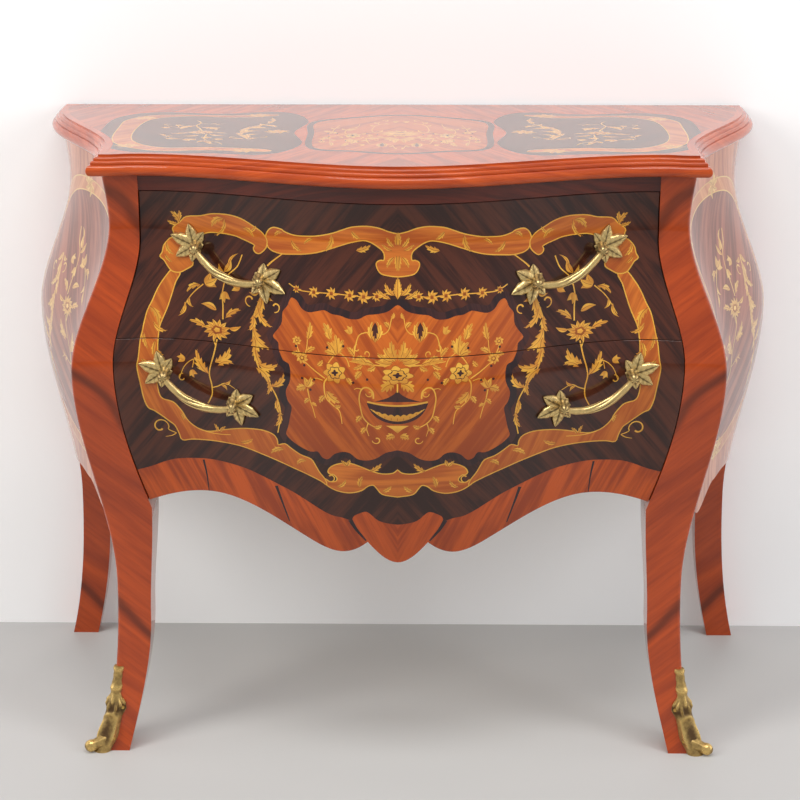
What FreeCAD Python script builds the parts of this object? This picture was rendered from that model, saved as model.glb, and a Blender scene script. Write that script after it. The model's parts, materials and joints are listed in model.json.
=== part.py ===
"""Bombe chest with two drawers, as a parametric document in millimetres.

Frame: +Z up, +X to the right of someone facing the chest, -Y to the front.  The origin is on the floor,
in the middle of the chest's width and depth.  Distances called "depth" run forward from the back plane.
"""
import FreeCAD, Part
import math
import os
import re
from FreeCAD import Vector

UP, DOWN = Vector(0, 0, 1), Vector(0, 0, -1)
FORWARD, BACKWARD = Vector(0, -1, 0), Vector(0, 1, 0)
OUTWARD, INWARD = Vector(1, 0, 0), Vector(-1, 0, 0)

SIZES = [
    ("overall_width", 1086, "across the widest point of the sides, at the back"),
    ("overall_depth", 533, "from the back plane to the foremost point of the bulge"),
    ("overall_height", 835, "floor to top"),
    ("top_thickness", 28, "top board, and the moulding round it"),
    ("moulding_projection", 15, "how far the moulding stands out beyond the top's arris"),
    ("lipping_width", 10, "how far the moulding reaches in from the arris"),
    ("top_front_overhang", 8, "top's arris beyond the stile's face at the corner"),
    ("top_side_overhang", 1, "top's arris beyond the stile's side"),
    ("top_dip", 6, "how far the top's front edge falls back beside the corner"),
    ("top_dip_inset", 45, "from the corner to the deepest point of that dip"),
    ("top_bow", 81, "bow of the top's front edge over its corners"),
    ("knee_height", 545, "height of the bulge"),
    ("waist_drop", 65, "from the top of the case down to the narrowest point"),
    ("ankle_height", 238, "height of the thinnest point of the legs"),
    ("side_spread", 107, "how much wider the chest is at the back than at the front, each side"),
    ("waist_narrowing", 52, "stile's outline, from bulge in to waist"),
    ("crown_flare", 7, "stile's outline, from waist out to the top of the case"),
    ("ankle_narrowing", 47, "leg's outline, from bulge in to ankle"),
    ("foot_kick", 24, "leg's outline, from ankle out to the floor"),
    ("foot_slope", 0.25, "slope of the leg's outline at the floor"),
    ("bow_knee", 93, "bow of the front at the bulge"),
    ("bow_top", 83, "bow of the front at the waist and above"),
    ("bow_ankle", 77, "bow of the front below the drawers"),
    ("bow_margin", 3.5, "from the opening's edge at the bulge in to the end of the bow"),
    ("hollow_margin", 46, "from the end of the bow in to the deepest point of the hollow beside it"),
    ("flank_offset", 150, "from the middle to the steepest part of the bow"),
    ("waist_hollow", 41, "face of the stile, from bulge back to waist"),
    ("crown_lean", 4, "face of the stile, from waist forward to the top of the case"),
    ("ankle_hollow", 21, "face of the leg, from bulge back to ankle"),
    ("toe_kick", 31, "face of the leg, from ankle forward to the floor"),
    ("sill_height", 352, "where the drawer opening ends and the free leg begins"),
    ("sill_inset", 100, "opening's edge at the sill, in from the bulge of the stile"),
    ("stile_width_knee", 56.5, "stile at the bulge"),
    ("opening_knee_rise", 12, "widest point of the opening above the bulge"),
    ("stile_width_waist", 41, "stile at the waist"),
    ("opening_waist_drop", 85, "from the top of the case down to the opening's narrowest point"),
    ("sill_slope", 0.36, "slope of the opening's edge at the sill"),
    ("leg_width_ankle", 46, "front leg from side to side at the ankle"),
    ("leg_width_foot", 37, "front leg from side to side at the floor"),
    ("leg_thickness_foot", 40, "front leg from front to back at the floor"),
    ("leg_thickness_ankle", 48, "front leg from front to back at the ankle"),
    ("post_thickness", 49, "front leg from front to back at the waist"),
    ("post_foot_height", 330, "where the front leg's back face starts to curve"),
    ("arris_radius", 5, "rounding of the front leg's outer arris"),
    ("back_leg_width", 88, "back leg from side to side at the bulge"),
    ("back_leg_foot_kick", 26, "inner face of the back leg, outward at the floor"),
    ("back_leg_thickness", 32, "back leg from front to back"),
    ("back_leg_bend_height", 200, "where the back leg's inner face starts to curve"),
    ("side_thickness", 18, "side panel"),
    ("side_sweep_start", 30, "depth at which the side reaches its full spread"),
    ("side_sweep_margin", 5, "the side meets the front leg's outline this far past the leg's back"),
    ("side_lobe_shift", 21, "middle of the side's lower lobe, forward of the panel's middle"),
    ("side_lobe_half", 42, "half width of that lobe"),
    ("side_lobe_bottom", 271, "height of the lobe's lowest point"),
    ("side_step_height", 305, "height of the corner beside the lobe"),
    ("side_arch_height", 312, "height of the arch beside that corner"),
    ("side_end_height", 303, "height of the side's lower edge at the legs"),
    ("side_arch_run", 40, "from the corner to the top of the arch"),
    ("front_thickness", 24, "drawer fronts and front rail, front to back"),
    ("rail_height", 22, "front rail under the top"),
    ("drawer_gap", 1, "gap round the drawer fronts"),
    ("upper_front_height", 193, "from the rail down to the gap between the two drawer fronts"),
    ("pendant_bottom", 302.5, "height of the middle drop of the apron"),
    ("notch_height", 332, "height of the notch beside the drop"),
    ("notch_offset", 40, "from the middle to the notch"),
    ("lobe_height", 315.5, "height of the apron's lobe"),
    ("lobe_offset", 76, "from the middle to the lobe"),
    ("rise_height", 334, "height of the apron's edge half way up the arch"),
    ("rise_offset", 125, "from the middle to that point"),
    ("arch_height", 380.5, "height of the top of the apron's arch"),
    ("arch_offset", 252, "from the middle to the top of the arch"),
    ("apron_end_height", 361, "height of the apron's edge beside the leg"),
    ("apron_end_run", 6, "from the opening's edge at the sill out to that place"),
    ("apron_end_slope", 0.36, "fall of the apron's edge there"),
    ("back_panel_thickness", 6, "plywood back"),
    ("back_panel_inset", 4, "back panel in from the back plane"),
    ("back_rail_thickness", 22, "rails behind the case"),
    ("top_back_rail_height", 45, "upper back rail"),
    ("low_back_rail_height", 60, "lower back rail"),
    ("divider_thickness", 20, "rail and runners between the drawers"),
    ("divider_rise", 6, "running surface of the upper drawer above the gap between the fronts"),
    ("divider_setback", 41, "front edge of the divider and bottom rails behind the bulge of the stile"),
    ("divider_width", 60, "divider rail and bottom rail from front to back"),
    ("bottom_level", 397, "height of the upper face of the case bottom"),
    ("bottom_thickness", 12, "case bottom"),
    ("wear_strip", 6, "base of the lower runners"),
    ("runner_width", 30, "runners from side to side"),
    ("guide_height", 20, "side guide above the running surface"),
    ("running_gap", 0.3, "clearance under and beside the drawer sides"),
    ("upper_box_margin", 8, "upper drawer box, each side, in from the opening at the waist"),
    ("lower_box_margin", 8, "lower drawer box, each side, out from the opening at the sill"),
    ("upper_box_headroom", 3.7, "between the upper drawer's sides and the kickers"),
    ("lower_box_headroom", 6.7, "between the lower drawer's sides and the upper runners"),
    ("drawer_side_thickness", 12, "sides and back of the drawers"),
    ("drawer_back_depth", 45, "depth of the back end of the drawer sides"),
    ("drawer_back_drop", 8, "drawer back lower than the sides"),
    ("drawer_bottom_thickness", 6, "plywood bottoms"),
    ("drawer_bottom_rise", 10, "bottom panel above the lower edge of the sides"),
    ("groove_depth", 6, "groove for the bottom in the sides and front"),
    ("runner_lap", 4, "how far runners and kickers reach in past the drawer sides"),
    ("kicker_height", 40, "kickers under the top"),
    ("kicker_width", 20, "kickers from side to side"),
    ("block_leg", 30, "glue blocks, along each wall"),
    ("block_overrun", 8, "how much of the front blocks is cut to the rail's inner face"),
    ("block_height", 20, "glue blocks"),
    ("screw_radius", 2, "wood screws and handle bolts, shank"),
    ("screw_head_radius", 4, "their heads"),
    ("screw_head_height", 2.5, "their heads"),
    ("screw_head_clearance", 0.5, "round their heads"),
    ("top_screw_inset", 60, "top screws in from the legs"),
    ("top_screw_bite", 18, "top screws, length inside the top"),
    ("kicker_wood_under_head", 22, "wood that the top screw's head pulls up"),
    ("panel_screw_radius", 1.5, "screws of the back panel"),
    ("panel_screw_length", 20, "screws of the back panel"),
    ("rosette_thickness", 4, "back plates of the handles"),
    ("rosette_offset", 12, "from a post out to the middle of its back plate"),
    ("rosette_radius", 11, "middle of a back plate"),
    ("leaf_radius", 7.5, "each leaf of a back plate"),
    ("leaf_offset", 13, "from the plate's middle to the middle of a leaf"),
    ("handle_standoff", 24, "bar's axis in front of the drawer front"),
    ("handle_bar_radius", 4.5, "bar of the handles"),
    ("handle_post_radius", 6, "posts that carry the bar"),
    ("handle_bolt_bite", 12, "bolt inside the handle's post"),
    ("bolt_recess", 4, "recess for the bolt's head behind the drawer front"),
    ("upper_handle_outer_inset", 75.5, "outer post of the upper handles, in from the opening at the waist"),
    ("upper_handle_inner_inset", 161.5, "inner post of the upper handles, in from the opening at the waist"),
    ("upper_handle_outer_drop", 72.5, "outer post of the upper handles below the rail"),
    ("upper_handle_inner_drop", 107.5, "inner post of the upper handles below the rail"),
    ("lower_handle_outer_inset", 69, "outer post of the lower handles, in from the opening at the bulge"),
    ("lower_handle_inner_inset", 161.5, "inner post of the lower handles, in from the opening at the bulge"),
    ("lower_handle_outer_drop", 45, "outer post of the lower handles below the gap between the fronts"),
    ("lower_handle_inner_drop", 79.5, "inner post of the lower handles below the gap between the fronts"),
    ("handle_sag", 16, "how far the bar hangs below the line between its posts"),
    ("sabot_height", 118, "brass shoes on the front feet"),
    ("sabot_leaf_height", 62, "leaf of the brass shoes, their thickest point"),
    ("toe_radius", 9, "scrolled toe of the brass shoe"),
    ("toe_height", 9.5, "toe's middle above the floor"),
    ("toe_out", 15, "toe's middle outward from the foot's outline"),
    ("toe_forward", 4, "toe's middle forward of the foot's face"),
    ("toe_root_radius", 12, "root of the toe, in the shoe's body"),
    ("pin_radius", 1.5, "pins of the brass shoes"),
    ("pin_length", 14, "pins of the brass shoes"),
    ("pin_head_radius", 2.5, "heads of those pins"),
    ("pin_head_height", 1.2, "heads of those pins"),
]

# Sizes that follow from those above, as formulas in further cells of the sheet.
DERIVED = [
    ("knee_half", "overall_width / 2 - side_spread", "half width over the stiles at the bulge"),
    ("knee_depth", "overall_depth - bow_knee", "depth of the stile's face at the bulge"),
    ("opening_sill", "knee_half - sill_inset", "half width of the opening at the sill"),
    ("opening_knee", "knee_half - stile_width_knee", "half width of the opening at the bulge"),
    (
        "opening_waist", "knee_half - waist_narrowing - stile_width_waist",
        "half width of the opening at the waist",
    ),
    ("post_back", "knee_depth - waist_hollow - post_thickness", "depth of the back of the stile"),
    ("back_leg_inner", "overall_width / 2 - back_leg_width", "half width between the back legs"),
    ("divider_front", "knee_depth - divider_setback", "depth of the front of the inner rails"),
    ("case_top", "overall_height - top_thickness", "height of the case under its top"),
    ("opening_top", "case_top - rail_height", "height of the top of the drawer opening"),
    ("seam_height", "opening_top - upper_front_height", "middle of the gap between the fronts"),
    ("divider_top", "seam_height + divider_rise", "running surface of the upper drawer"),
    ("upper_box_half", "opening_waist - upper_box_margin", "half width of the upper drawer box"),
    ("lower_box_half", "opening_sill + lower_box_margin", "half width of the lower drawer box"),
    (
        "upper_box_height",
        "case_top - kicker_height - upper_box_headroom - divider_top - running_gap",
        "sides of the upper drawer",
    ),
    (
        "lower_box_height",
        "divider_top - divider_thickness - lower_box_headroom - bottom_level - wear_strip - running_gap",
        "sides of the lower drawer",
    ),
]

doc = FreeCAD.newDocument("bombe_chest")
sheet = doc.addObject("Spreadsheet::Sheet", "Sizes")
cells = [(alias, str(number), note) for alias, number, note in SIZES]
cells += [(alias, "=" + formula, note) for alias, formula, note in DERIVED]
for row, (alias, content, note) in enumerate(cells, 1):
    sheet.set(f"A{row}", alias)
    sheet.set(f"B{row}", content)
    sheet.set(f"C{row}", note)
    sheet.setAlias(f"B{row}", alias)
doc.recompute()


class Sheet:
    """The sheet's numbers, read by alias."""

    def __getattr__(self, alias):
        return float(sheet.get(alias))


s = Sheet()

# Levels and half widths that follow from the sheet.
back_y = s.overall_depth / 2
case_height = s.case_top
waist_height = case_height - s.waist_drop
waist_half = s.knee_half - s.waist_narrowing
crown_half = waist_half + s.crown_flare
ankle_half = s.knee_half - s.ankle_narrowing
foot_half = ankle_half + s.foot_kick
waist_depth = s.knee_depth - s.waist_hollow
crown_depth = waist_depth + s.crown_lean
ankle_depth = s.knee_depth - s.ankle_hollow
foot_depth = ankle_depth + s.toe_kick
side_lobe_depth = (s.back_leg_thickness + s.post_back) / 2 + s.side_lobe_shift
apron_end_offset = s.opening_sill + s.apron_end_run
corner_half = crown_half + s.top_side_overhang
corner_depth = crown_depth + s.top_front_overhang
bow_half = s.opening_knee - s.bow_margin
far = s.overall_width  # from the middle to beyond the chest
over = 20  # how far cutting shapes run past what they cut

# Stations (position, value, slope) of the curves that shape the case, from the floor up.
LEG_OUTLINE = [
    (0, foot_half, -s.foot_slope),
    (s.ankle_height, ankle_half, 0),
    (s.knee_height, s.knee_half, 0),
    (waist_height, waist_half, 0),
    (case_height, crown_half, 0.15),
]
LEG_FACE = [
    (0, foot_depth, -s.foot_slope),
    (s.ankle_height, ankle_depth, 0),
    (s.knee_height, s.knee_depth, 0),
    (waist_height, waist_depth, 0),
    (case_height, crown_depth, 0.08),
]
FRONT_BOW = [
    (0, s.bow_ankle, 0),
    (s.ankle_height, s.bow_ankle, 0),
    (s.knee_height, s.bow_knee, 0),
    (waist_height, s.bow_top, 0),
    (case_height, s.bow_top, 0),
]
OPENING_EDGE = [
    (s.sill_height, s.opening_sill, s.sill_slope),
    (s.knee_height + s.opening_knee_rise, s.opening_knee, 0),
    (case_height - s.opening_waist_drop, s.opening_waist, 0),
    (case_height, s.opening_waist, 0),
]
FREE_LEG_INNER = [
    (0, foot_half - s.leg_width_foot, -s.foot_slope),
    (s.ankle_height * 0.8, ankle_half - s.leg_width_ankle, 0),
    (s.sill_height, s.opening_sill, 0),
]
LEG_BACK = [
    (0, foot_depth - s.leg_thickness_foot, -s.foot_slope * 0.8),
    (s.ankle_height * 0.85, ankle_depth - s.leg_thickness_ankle, 0),
    (s.post_foot_height, s.post_back, 0),
    (case_height, s.post_back, 0),
]
BACK_LEG_INNER = [
    (0, s.back_leg_inner + s.back_leg_foot_kick, -s.foot_slope),
    (s.back_leg_bend_height, s.back_leg_inner, 0),
    (case_height, s.back_leg_inner, 0),
]
SIDE_SWEEP = [
    (-2 * over, 1, 0),
    (s.side_sweep_start, 1, 0),
    (s.post_back + s.side_sweep_margin, 0, 0),
    (s.overall_depth, 0, 0),
]
# Share of the bow from the middle outward: a swell, then a slight hollow beside the stile.
HALF_SERPENTINE = [
    (0, 1, 0),
    (s.flank_offset, 0.6, -0.005),
    (bow_half - s.hollow_margin, -0.05, 0),
    (bow_half, 0, 0),
    (s.overall_width / 2, 0, 0),
]
PENDANT = [(0, s.pendant_bottom, 0), (s.notch_offset, s.notch_height, 1.2)]
APRON = [
    (s.notch_offset, s.notch_height, -0.9),
    (s.lobe_offset, s.lobe_height, 0),
    (s.rise_offset, s.rise_height, 0.55),
    (s.arch_offset, s.arch_height, 0),
    (apron_end_offset, s.apron_end_height, -s.apron_end_slope),
    (
        s.opening_knee,
        s.apron_end_height - s.apron_end_slope * (s.opening_knee - apron_end_offset),
        -s.apron_end_slope,
    ),
]


def value_at(stations, position):
    """Value of a curve at one position."""
    for (low, low_value, low_slope), (high, high_value, high_slope) in zip(stations, stations[1:]):
        if position <= high:
            break
    run = high - low
    u = (position - low) / run
    return (
        (2 * u**3 - 3 * u**2 + 1) * low_value
        + (u**3 - 2 * u**2 + u) * run * low_slope
        + (3 * u**2 - 2 * u**3) * high_value
        + (u**3 - u**2) * run * high_slope
    )


def poles_of(stations):
    """(position, value) poles of the cubic spline that has these values and slopes."""
    poles = [stations[0][:2]]
    for (low, low_value, low_slope), (high, high_value, high_slope) in zip(stations, stations[1:]):
        third = (high - low) / 3
        poles.append((low + third, low_value + low_slope * third))
        poles.append((high - third, high_value - high_slope * third))
    poles.append(stations[-1][:2])
    return poles


def knots_of(stations):
    knots = [float(station[0]) for station in stations]
    mults = [4] + [2] * (len(knots) - 2) + [4]
    return knots, mults


def curve_edge(stations, place):
    """Edge along a curve; place turns (position, value) into a point."""
    knots, mults = knots_of(stations)
    curve = Part.BSplineCurve()
    poles = [place(*pole) for pole in poles_of(stations)]
    curve.buildFromPolesMultsKnots(poles, mults, knots, False, 3)
    return curve.toShape()


def sheet_face(across, up, place):
    """Face over two curves; place turns (across pole, up pole index) into a point."""
    across_knots, across_mults = knots_of(across)
    up_knots, up_mults = knots_of(up)
    grid = [[place(pole, index) for index in range(len(poles_of(up)))] for pole in poles_of(across)]
    surface = Part.BSplineSurface()
    surface.buildFromPolesMultsKnots(
        grid, across_mults, up_mults, across_knots, up_knots, False, False, 3, 3
    )
    return surface.toShape()


def shifted(stations, step):
    return [(position, value + step, slope) for position, value, slope in stations]


def mirrored(stations):
    return [(-position, value, -slope) for position, value, slope in reversed(stations)]


SERPENTINE = mirrored(HALF_SERPENTINE)[:-1] + HALF_SERPENTINE


def point(x, depth, z):
    return Vector(x, back_y - depth, z)


def trimmed(stations, low, high):
    """The stretch of a curve between two positions, as stations of its own."""
    inside = [station for station in stations if low < station[0] < high]
    return [station_at(stations, low)] + inside + [station_at(stations, high)]


def station_at(stations, position):
    step = 1e-4
    slope = (value_at(stations, position + step) - value_at(stations, position - step)) / (2 * step)
    return (position, value_at(stations, position), slope)


def front_depth(x, z):
    """Depth of the chest's front surface at a place on it."""
    return value_at(LEG_FACE, z) + value_at(SERPENTINE, x) * value_at(FRONT_BOW, z)


# ---------------------------------------------------------------- document objects


def bind(item, **formulas):
    """Bind properties to formulas over the sheet; base_z stands for Placement.Base.z and the like."""
    for name, formula in formulas.items():
        place = name.replace("base_", "Placement.Base.")
        item.setExpression(place, re.sub(r"([a-z]\w*)", r"Sizes.\1", formula))
    return item


def shape_of(name, shape):
    """A template or surface that no primitive or feature gives."""
    item = doc.addObject("Part::Feature", name)
    item.Shape = shape
    return item


def box(name, x, depth, z):
    """Board between two formulas each way; depths run forward from the back plane."""
    item = doc.addObject("Part::Box", name)
    bind(item, Length=f"{x[1]} - ( {x[0]} )", Width=f"{depth[1]} - ( {depth[0]} )")
    bind(item, Height=f"{z[1]} - ( {z[0]} )", base_x=x[0], base_z=z[0])
    return bind(item, base_y=f"overall_depth / 2 - ( {depth[1]} )")


def extruded(name, base, direction, formula):
    item = doc.addObject("Part::Extrusion", name)
    item.Base = base
    item.DirMode = "Custom"
    item.Dir = direction
    item.Solid = True
    return bind(item, LengthFwd=formula)


def common(name, *items):
    item = doc.addObject("Part::MultiCommon", name)
    item.Shapes = list(items)
    return item


def cut(name, base, *tools):
    """Base less its tools."""
    for index, tool in enumerate(tools):
        item = doc.addObject("Part::Cut", name if index == len(tools) - 1 else f"{name}_cut_{index + 1}")
        item.Base = base
        item.Tool = tool
        base = item
    return base


def fused(name, *items):
    item = doc.addObject("Part::MultiFuse", name)
    item.Shapes = list(items)
    return item


def mirror(name, source):
    """The other hand of a piece."""
    item = doc.addObject("Part::Mirroring", name)
    item.Source = source
    item.Normal = OUTWARD
    return item


def group(name, items):
    item = doc.addObject("Part::Compound", name)
    item.Links = list(items)
    return item


def rod(name, radius, length, start, direction):
    """Round bar of a bound radius from a point along a direction."""
    item = doc.addObject("Part::Cylinder", name)
    bind(item, Radius=radius, Height=length)
    item.Placement = FreeCAD.Placement(start, FreeCAD.Rotation(UP, direction))
    return item


nodes = {}


def node(label, item):
    """Name a finished sub-part."""
    item.Label = label
    nodes[label] = item
    return item


# ---------------------------------------------------------------- surfaces and templates


def outline_face(edges):
    return Part.Face(Part.Wire(Part.__sortEdges__(edges)))


def line(start, end):
    return Part.makeLine(start, end)


def front_surface(name, step):
    """The chest's front surface, moved back by a step."""
    face_poles = poles_of(LEG_FACE)
    bow_poles = poles_of(FRONT_BOW)

    def place(pole, index):
        x, share = pole
        z, depth = face_poles[index]
        return point(x, depth - step + share * bow_poles[index][1], z)

    return shape_of(name, sheet_face(SERPENTINE, LEG_FACE, place))


def side_surface(name, step):
    """The right side's outer surface, moved in by a step."""
    outline_poles = poles_of(LEG_OUTLINE)

    def place(pole, index):
        depth, share = pole
        z, half = outline_poles[index]
        return point(half - step + share * s.side_spread, depth, z)

    return shape_of(name, sheet_face(SIDE_SWEEP, LEG_OUTLINE, place))


def front_view(stations, depth=0):
    """Edge of a curve of half widths over height, in a front view."""
    return curve_edge(stations, lambda z, half: point(half, depth, z))


def side_view(stations):
    """Edge of a curve of depths over height, in a side view."""
    return curve_edge(stations, lambda z, depth: point(0, depth, z))


def band(inner, outer, view, place):
    """Outline between two curves that run from the floor to the top of the case."""
    edges = [view(stations) for stations in inner] + [view(outer)]
    low, high = inner[0][0], inner[-1][-1]
    edges.append(line(place(low[1], low[0]), place(outer[0][1], outer[0][0])))
    edges.append(line(place(high[1], high[0]), place(outer[-1][1], outer[-1][0])))
    return outline_face(edges)


def front_place(half, z):
    return point(half, 0, z)


def side_place(depth, z):
    return point(0, depth, z)


# ---------------------------------------------------------------- legs and sides

front_leg_front = shape_of(
    "front_leg_front_template", band([FREE_LEG_INNER, OPENING_EDGE], LEG_OUTLINE, front_view, front_place)
)
front_leg_side = shape_of(
    "front_leg_side_template", band([LEG_BACK], LEG_FACE, side_view, side_place)
)
back_leg_front = shape_of(
    "back_leg_front_template",
    band([BACK_LEG_INNER], shifted(LEG_OUTLINE, s.side_spread), front_view, front_place),
)


def leg_blank(name, template):
    """Template sawn through the whole depth of the chest."""
    return extruded(name, template, FORWARD, "overall_depth")


sawn_front_leg = common(
    "sawn_front_leg",
    leg_blank("front_leg_front_cut", front_leg_front),
    extruded("front_leg_side_cut", front_leg_side, OUTWARD, "overall_width"),
)
doc.recompute()


def outer_arris(shape):
    """Numbers of the edges along the leg's outer front arris."""
    found = []
    for number, edge in enumerate(shape.Edges, 1):
        middle = edge.valueAt((edge.FirstParameter + edge.LastParameter) / 2)
        outer = abs(middle.x - value_at(LEG_OUTLINE, middle.z)) < 0.5
        face = abs(back_y - middle.y - value_at(LEG_FACE, middle.z)) < 0.5
        if outer and face and abs(edge.BoundBox.ZLength) > 1:
            found.append(number)
    return found


right_leg = doc.addObject("Part::Fillet", "rounded_front_leg")
right_leg.Base = sawn_front_leg
arris = outer_arris(sawn_front_leg.Shape)
right_leg.Edges = [(number, s.arris_radius, s.arris_radius) for number in arris]
doc.recompute()

right_back_leg = extruded("right_back_leg", back_leg_front, FORWARD, "back_leg_thickness")
node("back_right_leg", right_back_leg)
node("back_left_leg", mirror("left_back_leg", right_back_leg))

# Lower edge of a side, over depth: a lobe in the middle, a corner each side of it and two low arches.
SIDE_LOBE = [
    (side_lobe_depth - s.side_lobe_half, s.side_step_height, -0.5),
    (side_lobe_depth, s.side_lobe_bottom, 0),
    (side_lobe_depth + s.side_lobe_half, s.side_step_height, 0.5),
]


def side_arch(end_depth):
    """Arch from the lobe's corner to a leg."""
    toward = 1 if end_depth > side_lobe_depth else -1
    corner = side_lobe_depth + toward * s.side_lobe_half
    stations = [
        (corner, s.side_step_height, 0),
        (corner + toward * s.side_arch_run, s.side_arch_height, 0),
        (end_depth, s.side_end_height, -0.1 * toward),
    ]
    return stations if toward > 0 else stations[::-1]


def side_outline():
    """Outline of a side panel in a side view."""
    lower = [SIDE_LOBE, side_arch(s.back_leg_thickness), side_arch(s.post_back)]
    corners = [
        side_place(s.post_back, s.side_end_height),
        side_place(s.post_back, case_height),
        side_place(s.back_leg_thickness, case_height),
        side_place(s.back_leg_thickness, s.side_end_height),
    ]
    edges = [curve_edge(stations, side_place) for stations in lower]
    edges += [line(start, end) for start, end in zip(corners, corners[1:])]
    return outline_face(edges)


right_side = common(
    "right_side",
    extruded("side_skin", side_surface("side_surface", 0), INWARD, "side_thickness"),
    extruded("side_cut", shape_of("side_template", side_outline()), OUTWARD, "overall_width"),
)
node("right_side_panel", right_side)
node("left_side_panel", mirror("left_side", right_side))

# Room between the two side panels.
right_inside = extruded(
    "right_inside", side_surface("side_inner_surface", s.side_thickness), INWARD,
    "overall_width",
)
inside = common("inside_of_case", right_inside, mirror("left_inside", right_inside))

# ---------------------------------------------------------------- top and its moulding

mitre_reach = 2 * s.moulding_projection
TOP_FRONT = [
    (-corner_half - mitre_reach, corner_depth, 0),
    (-corner_half + s.lipping_width, corner_depth, 0),
    (-corner_half + s.top_dip_inset, corner_depth - s.top_dip, 0),
    (0, corner_depth + s.top_bow, 0),
    (corner_half - s.top_dip_inset, corner_depth - s.top_dip, 0),
    (corner_half - s.lipping_width, corner_depth, 0),
    (corner_half + mitre_reach, corner_depth, 0),
]
TOP_SIDE = [
    (depth, corner_half + share * s.side_spread, slope * s.side_spread)
    for depth, share, slope in SIDE_SWEEP
]


def top_outline():
    """Plan of the top board, inside the moulding."""
    half = corner_half - s.lipping_width
    depth = corner_depth - s.lipping_width
    front = shifted(trimmed(TOP_FRONT, -half, half), -s.lipping_width)
    side = shifted(trimmed(TOP_SIDE, 0, depth), -s.lipping_width)
    edges = [curve_edge(front, lambda x, y: point(x, y, case_height))]
    edges.append(curve_edge(side, lambda y, x: point(x, y, case_height)))
    edges.append(curve_edge(side, lambda y, x: point(-x, y, case_height)))
    edges.append(line(point(-side[0][1], 0, case_height), point(side[0][1], 0, case_height)))
    return outline_face(edges)


top_plan = shape_of("top_plan", top_outline())
top_blank = extruded("top_blank", top_plan, UP, "top_thickness")


def straight(start, end):
    """Poles of a straight side of the section."""
    return [tuple(a + (b - a) * share for a, b in zip(start, end)) for share in (0, 1 / 3, 2 / 3, 1)]


# Section of the moulding, as (out, down) points of cubic arcs from the arris to the underside, drawn
# at the size given here and scaled to the sheet's.
DRAWN_OUT, DRAWN_DOWN = 15, 28
scale_out = s.moulding_projection / DRAWN_OUT
scale_down = s.top_thickness / DRAWN_DOWN
SECTION = [
    straight((0, 0), (0, 2.5)),
    straight((0, 2.5), (2, 3)),
    [(2, 3), (4.5, 3), (6, 5), (5.5, 7.5)],
    straight((5.5, 7.5), (7.5, 8)),
    [(7.5, 8), (9.6, 8.4), (10.2, 11), (9, 13)],
    [(9, 13), (13, 12.6), (DRAWN_OUT, 16.5), (DRAWN_OUT, 20)],
    [(DRAWN_OUT, 20), (DRAWN_OUT, 24), (12.5, 27.4), (8, 27.6)],
    straight((8, 27.6), (6, DRAWN_DOWN)),
]


def moulding_strip(name, stations, place):
    """Solid strip of the moulding's section along a curve of the plan."""
    inner_top = (-s.lipping_width / scale_out, 0)
    inner_bottom = (inner_top[0], SECTION[-1][-1][1])
    section = SECTION + [
        straight(SECTION[-1][-1], inner_bottom),
        straight(inner_bottom, inner_top),
        straight(inner_top, SECTION[0][0]),
    ]
    knots, mults = knots_of(stations)
    faces = []
    ends = [[], []]
    for arc in section:
        grid = [
            [
                place(position, value + out * scale_out, s.overall_height - down * scale_down)
                for out, down in arc
            ]
            for position, value in poles_of(stations)
        ]
        surface = Part.BSplineSurface()
        surface.buildFromPolesMultsKnots(grid, mults, [4, 4], knots, [0.0, 1.0], False, False, 3, 3)
        faces.append(surface.toShape())
        for edges, poles in zip(ends, (grid[0], grid[-1])):
            curve = Part.BezierCurve()
            curve.setPoles(poles)
            edges.append(curve.toShape())
    shell = Part.makeShell(faces + [Part.Face(Part.Wire(edges)) for edges in ends])
    shell.sewShape()
    return shape_of(name, Part.makeSolid(shell))


def plan_prism(name, corners):
    """Block over the plan that mitres a moulding; corners are (x, depth)."""
    points = [point(x, depth, 0) for x, depth in corners]
    edges = [line(start, end) for start, end in zip(points, points[1:] + points[:1])]
    return extruded(name, shape_of(name + "_plan", outline_face(edges)), UP, "overall_height")


inner_x, inner_depth = corner_half - mitre_reach, corner_depth - mitre_reach
outer_x, outer_depth = corner_half + mitre_reach, corner_depth + mitre_reach
front_mitre = plan_prism(
    "front_mitre",
    [
        (-inner_x, inner_depth), (inner_x, inner_depth), (outer_x, outer_depth),
        (outer_x, far), (-outer_x, far), (-outer_x, outer_depth),
    ],
)
side_mitre = plan_prism(
    "side_mitre",
    [(inner_x, 0), (far, 0), (far, outer_depth), (outer_x, outer_depth), (inner_x, inner_depth)],
)
front_strip = moulding_strip("front_strip", TOP_FRONT, point)
side_strip = moulding_strip("side_strip", TOP_SIDE, lambda depth, x, z: point(x, depth, z))
node("top_moulding_front", common("front_moulding", front_strip, front_mitre))
right_moulding = common("right_moulding", side_strip, side_mitre)
node("top_moulding_right", right_moulding)
node("top_moulding_left", mirror("left_moulding", right_moulding))

# ---------------------------------------------------------------- rails, back and case bottom

front_skin = extruded("front_skin", front_surface("front_surface", 0), BACKWARD, "front_thickness")


def opening_face(low, high, gap, bottom_edges=None):
    """Outline between the two edges of the drawer opening, in a front view."""
    edge = shifted(trimmed(OPENING_EDGE, low, high), -gap)
    right = curve_edge(edge, lambda z, half: point(half, 0, z))
    left = curve_edge(edge, lambda z, half: point(-half, 0, z))
    top = line(point(-edge[-1][1], 0, high), point(edge[-1][1], 0, high))
    bottom = bottom_edges or [line(point(-edge[0][1], 0, low), point(edge[0][1], 0, low))]
    return outline_face([right, left, top] + bottom)


def opening_prism(name, low, high, gap):
    template = shape_of(name + "_template", opening_face(low, high, gap))
    return extruded(name, template, FORWARD, "overall_depth")


rail_prism = opening_prism("rail_cut", s.opening_top, case_height, 0)
node("top_front_rail", common("front_rail", front_skin, rail_prism))

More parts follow.
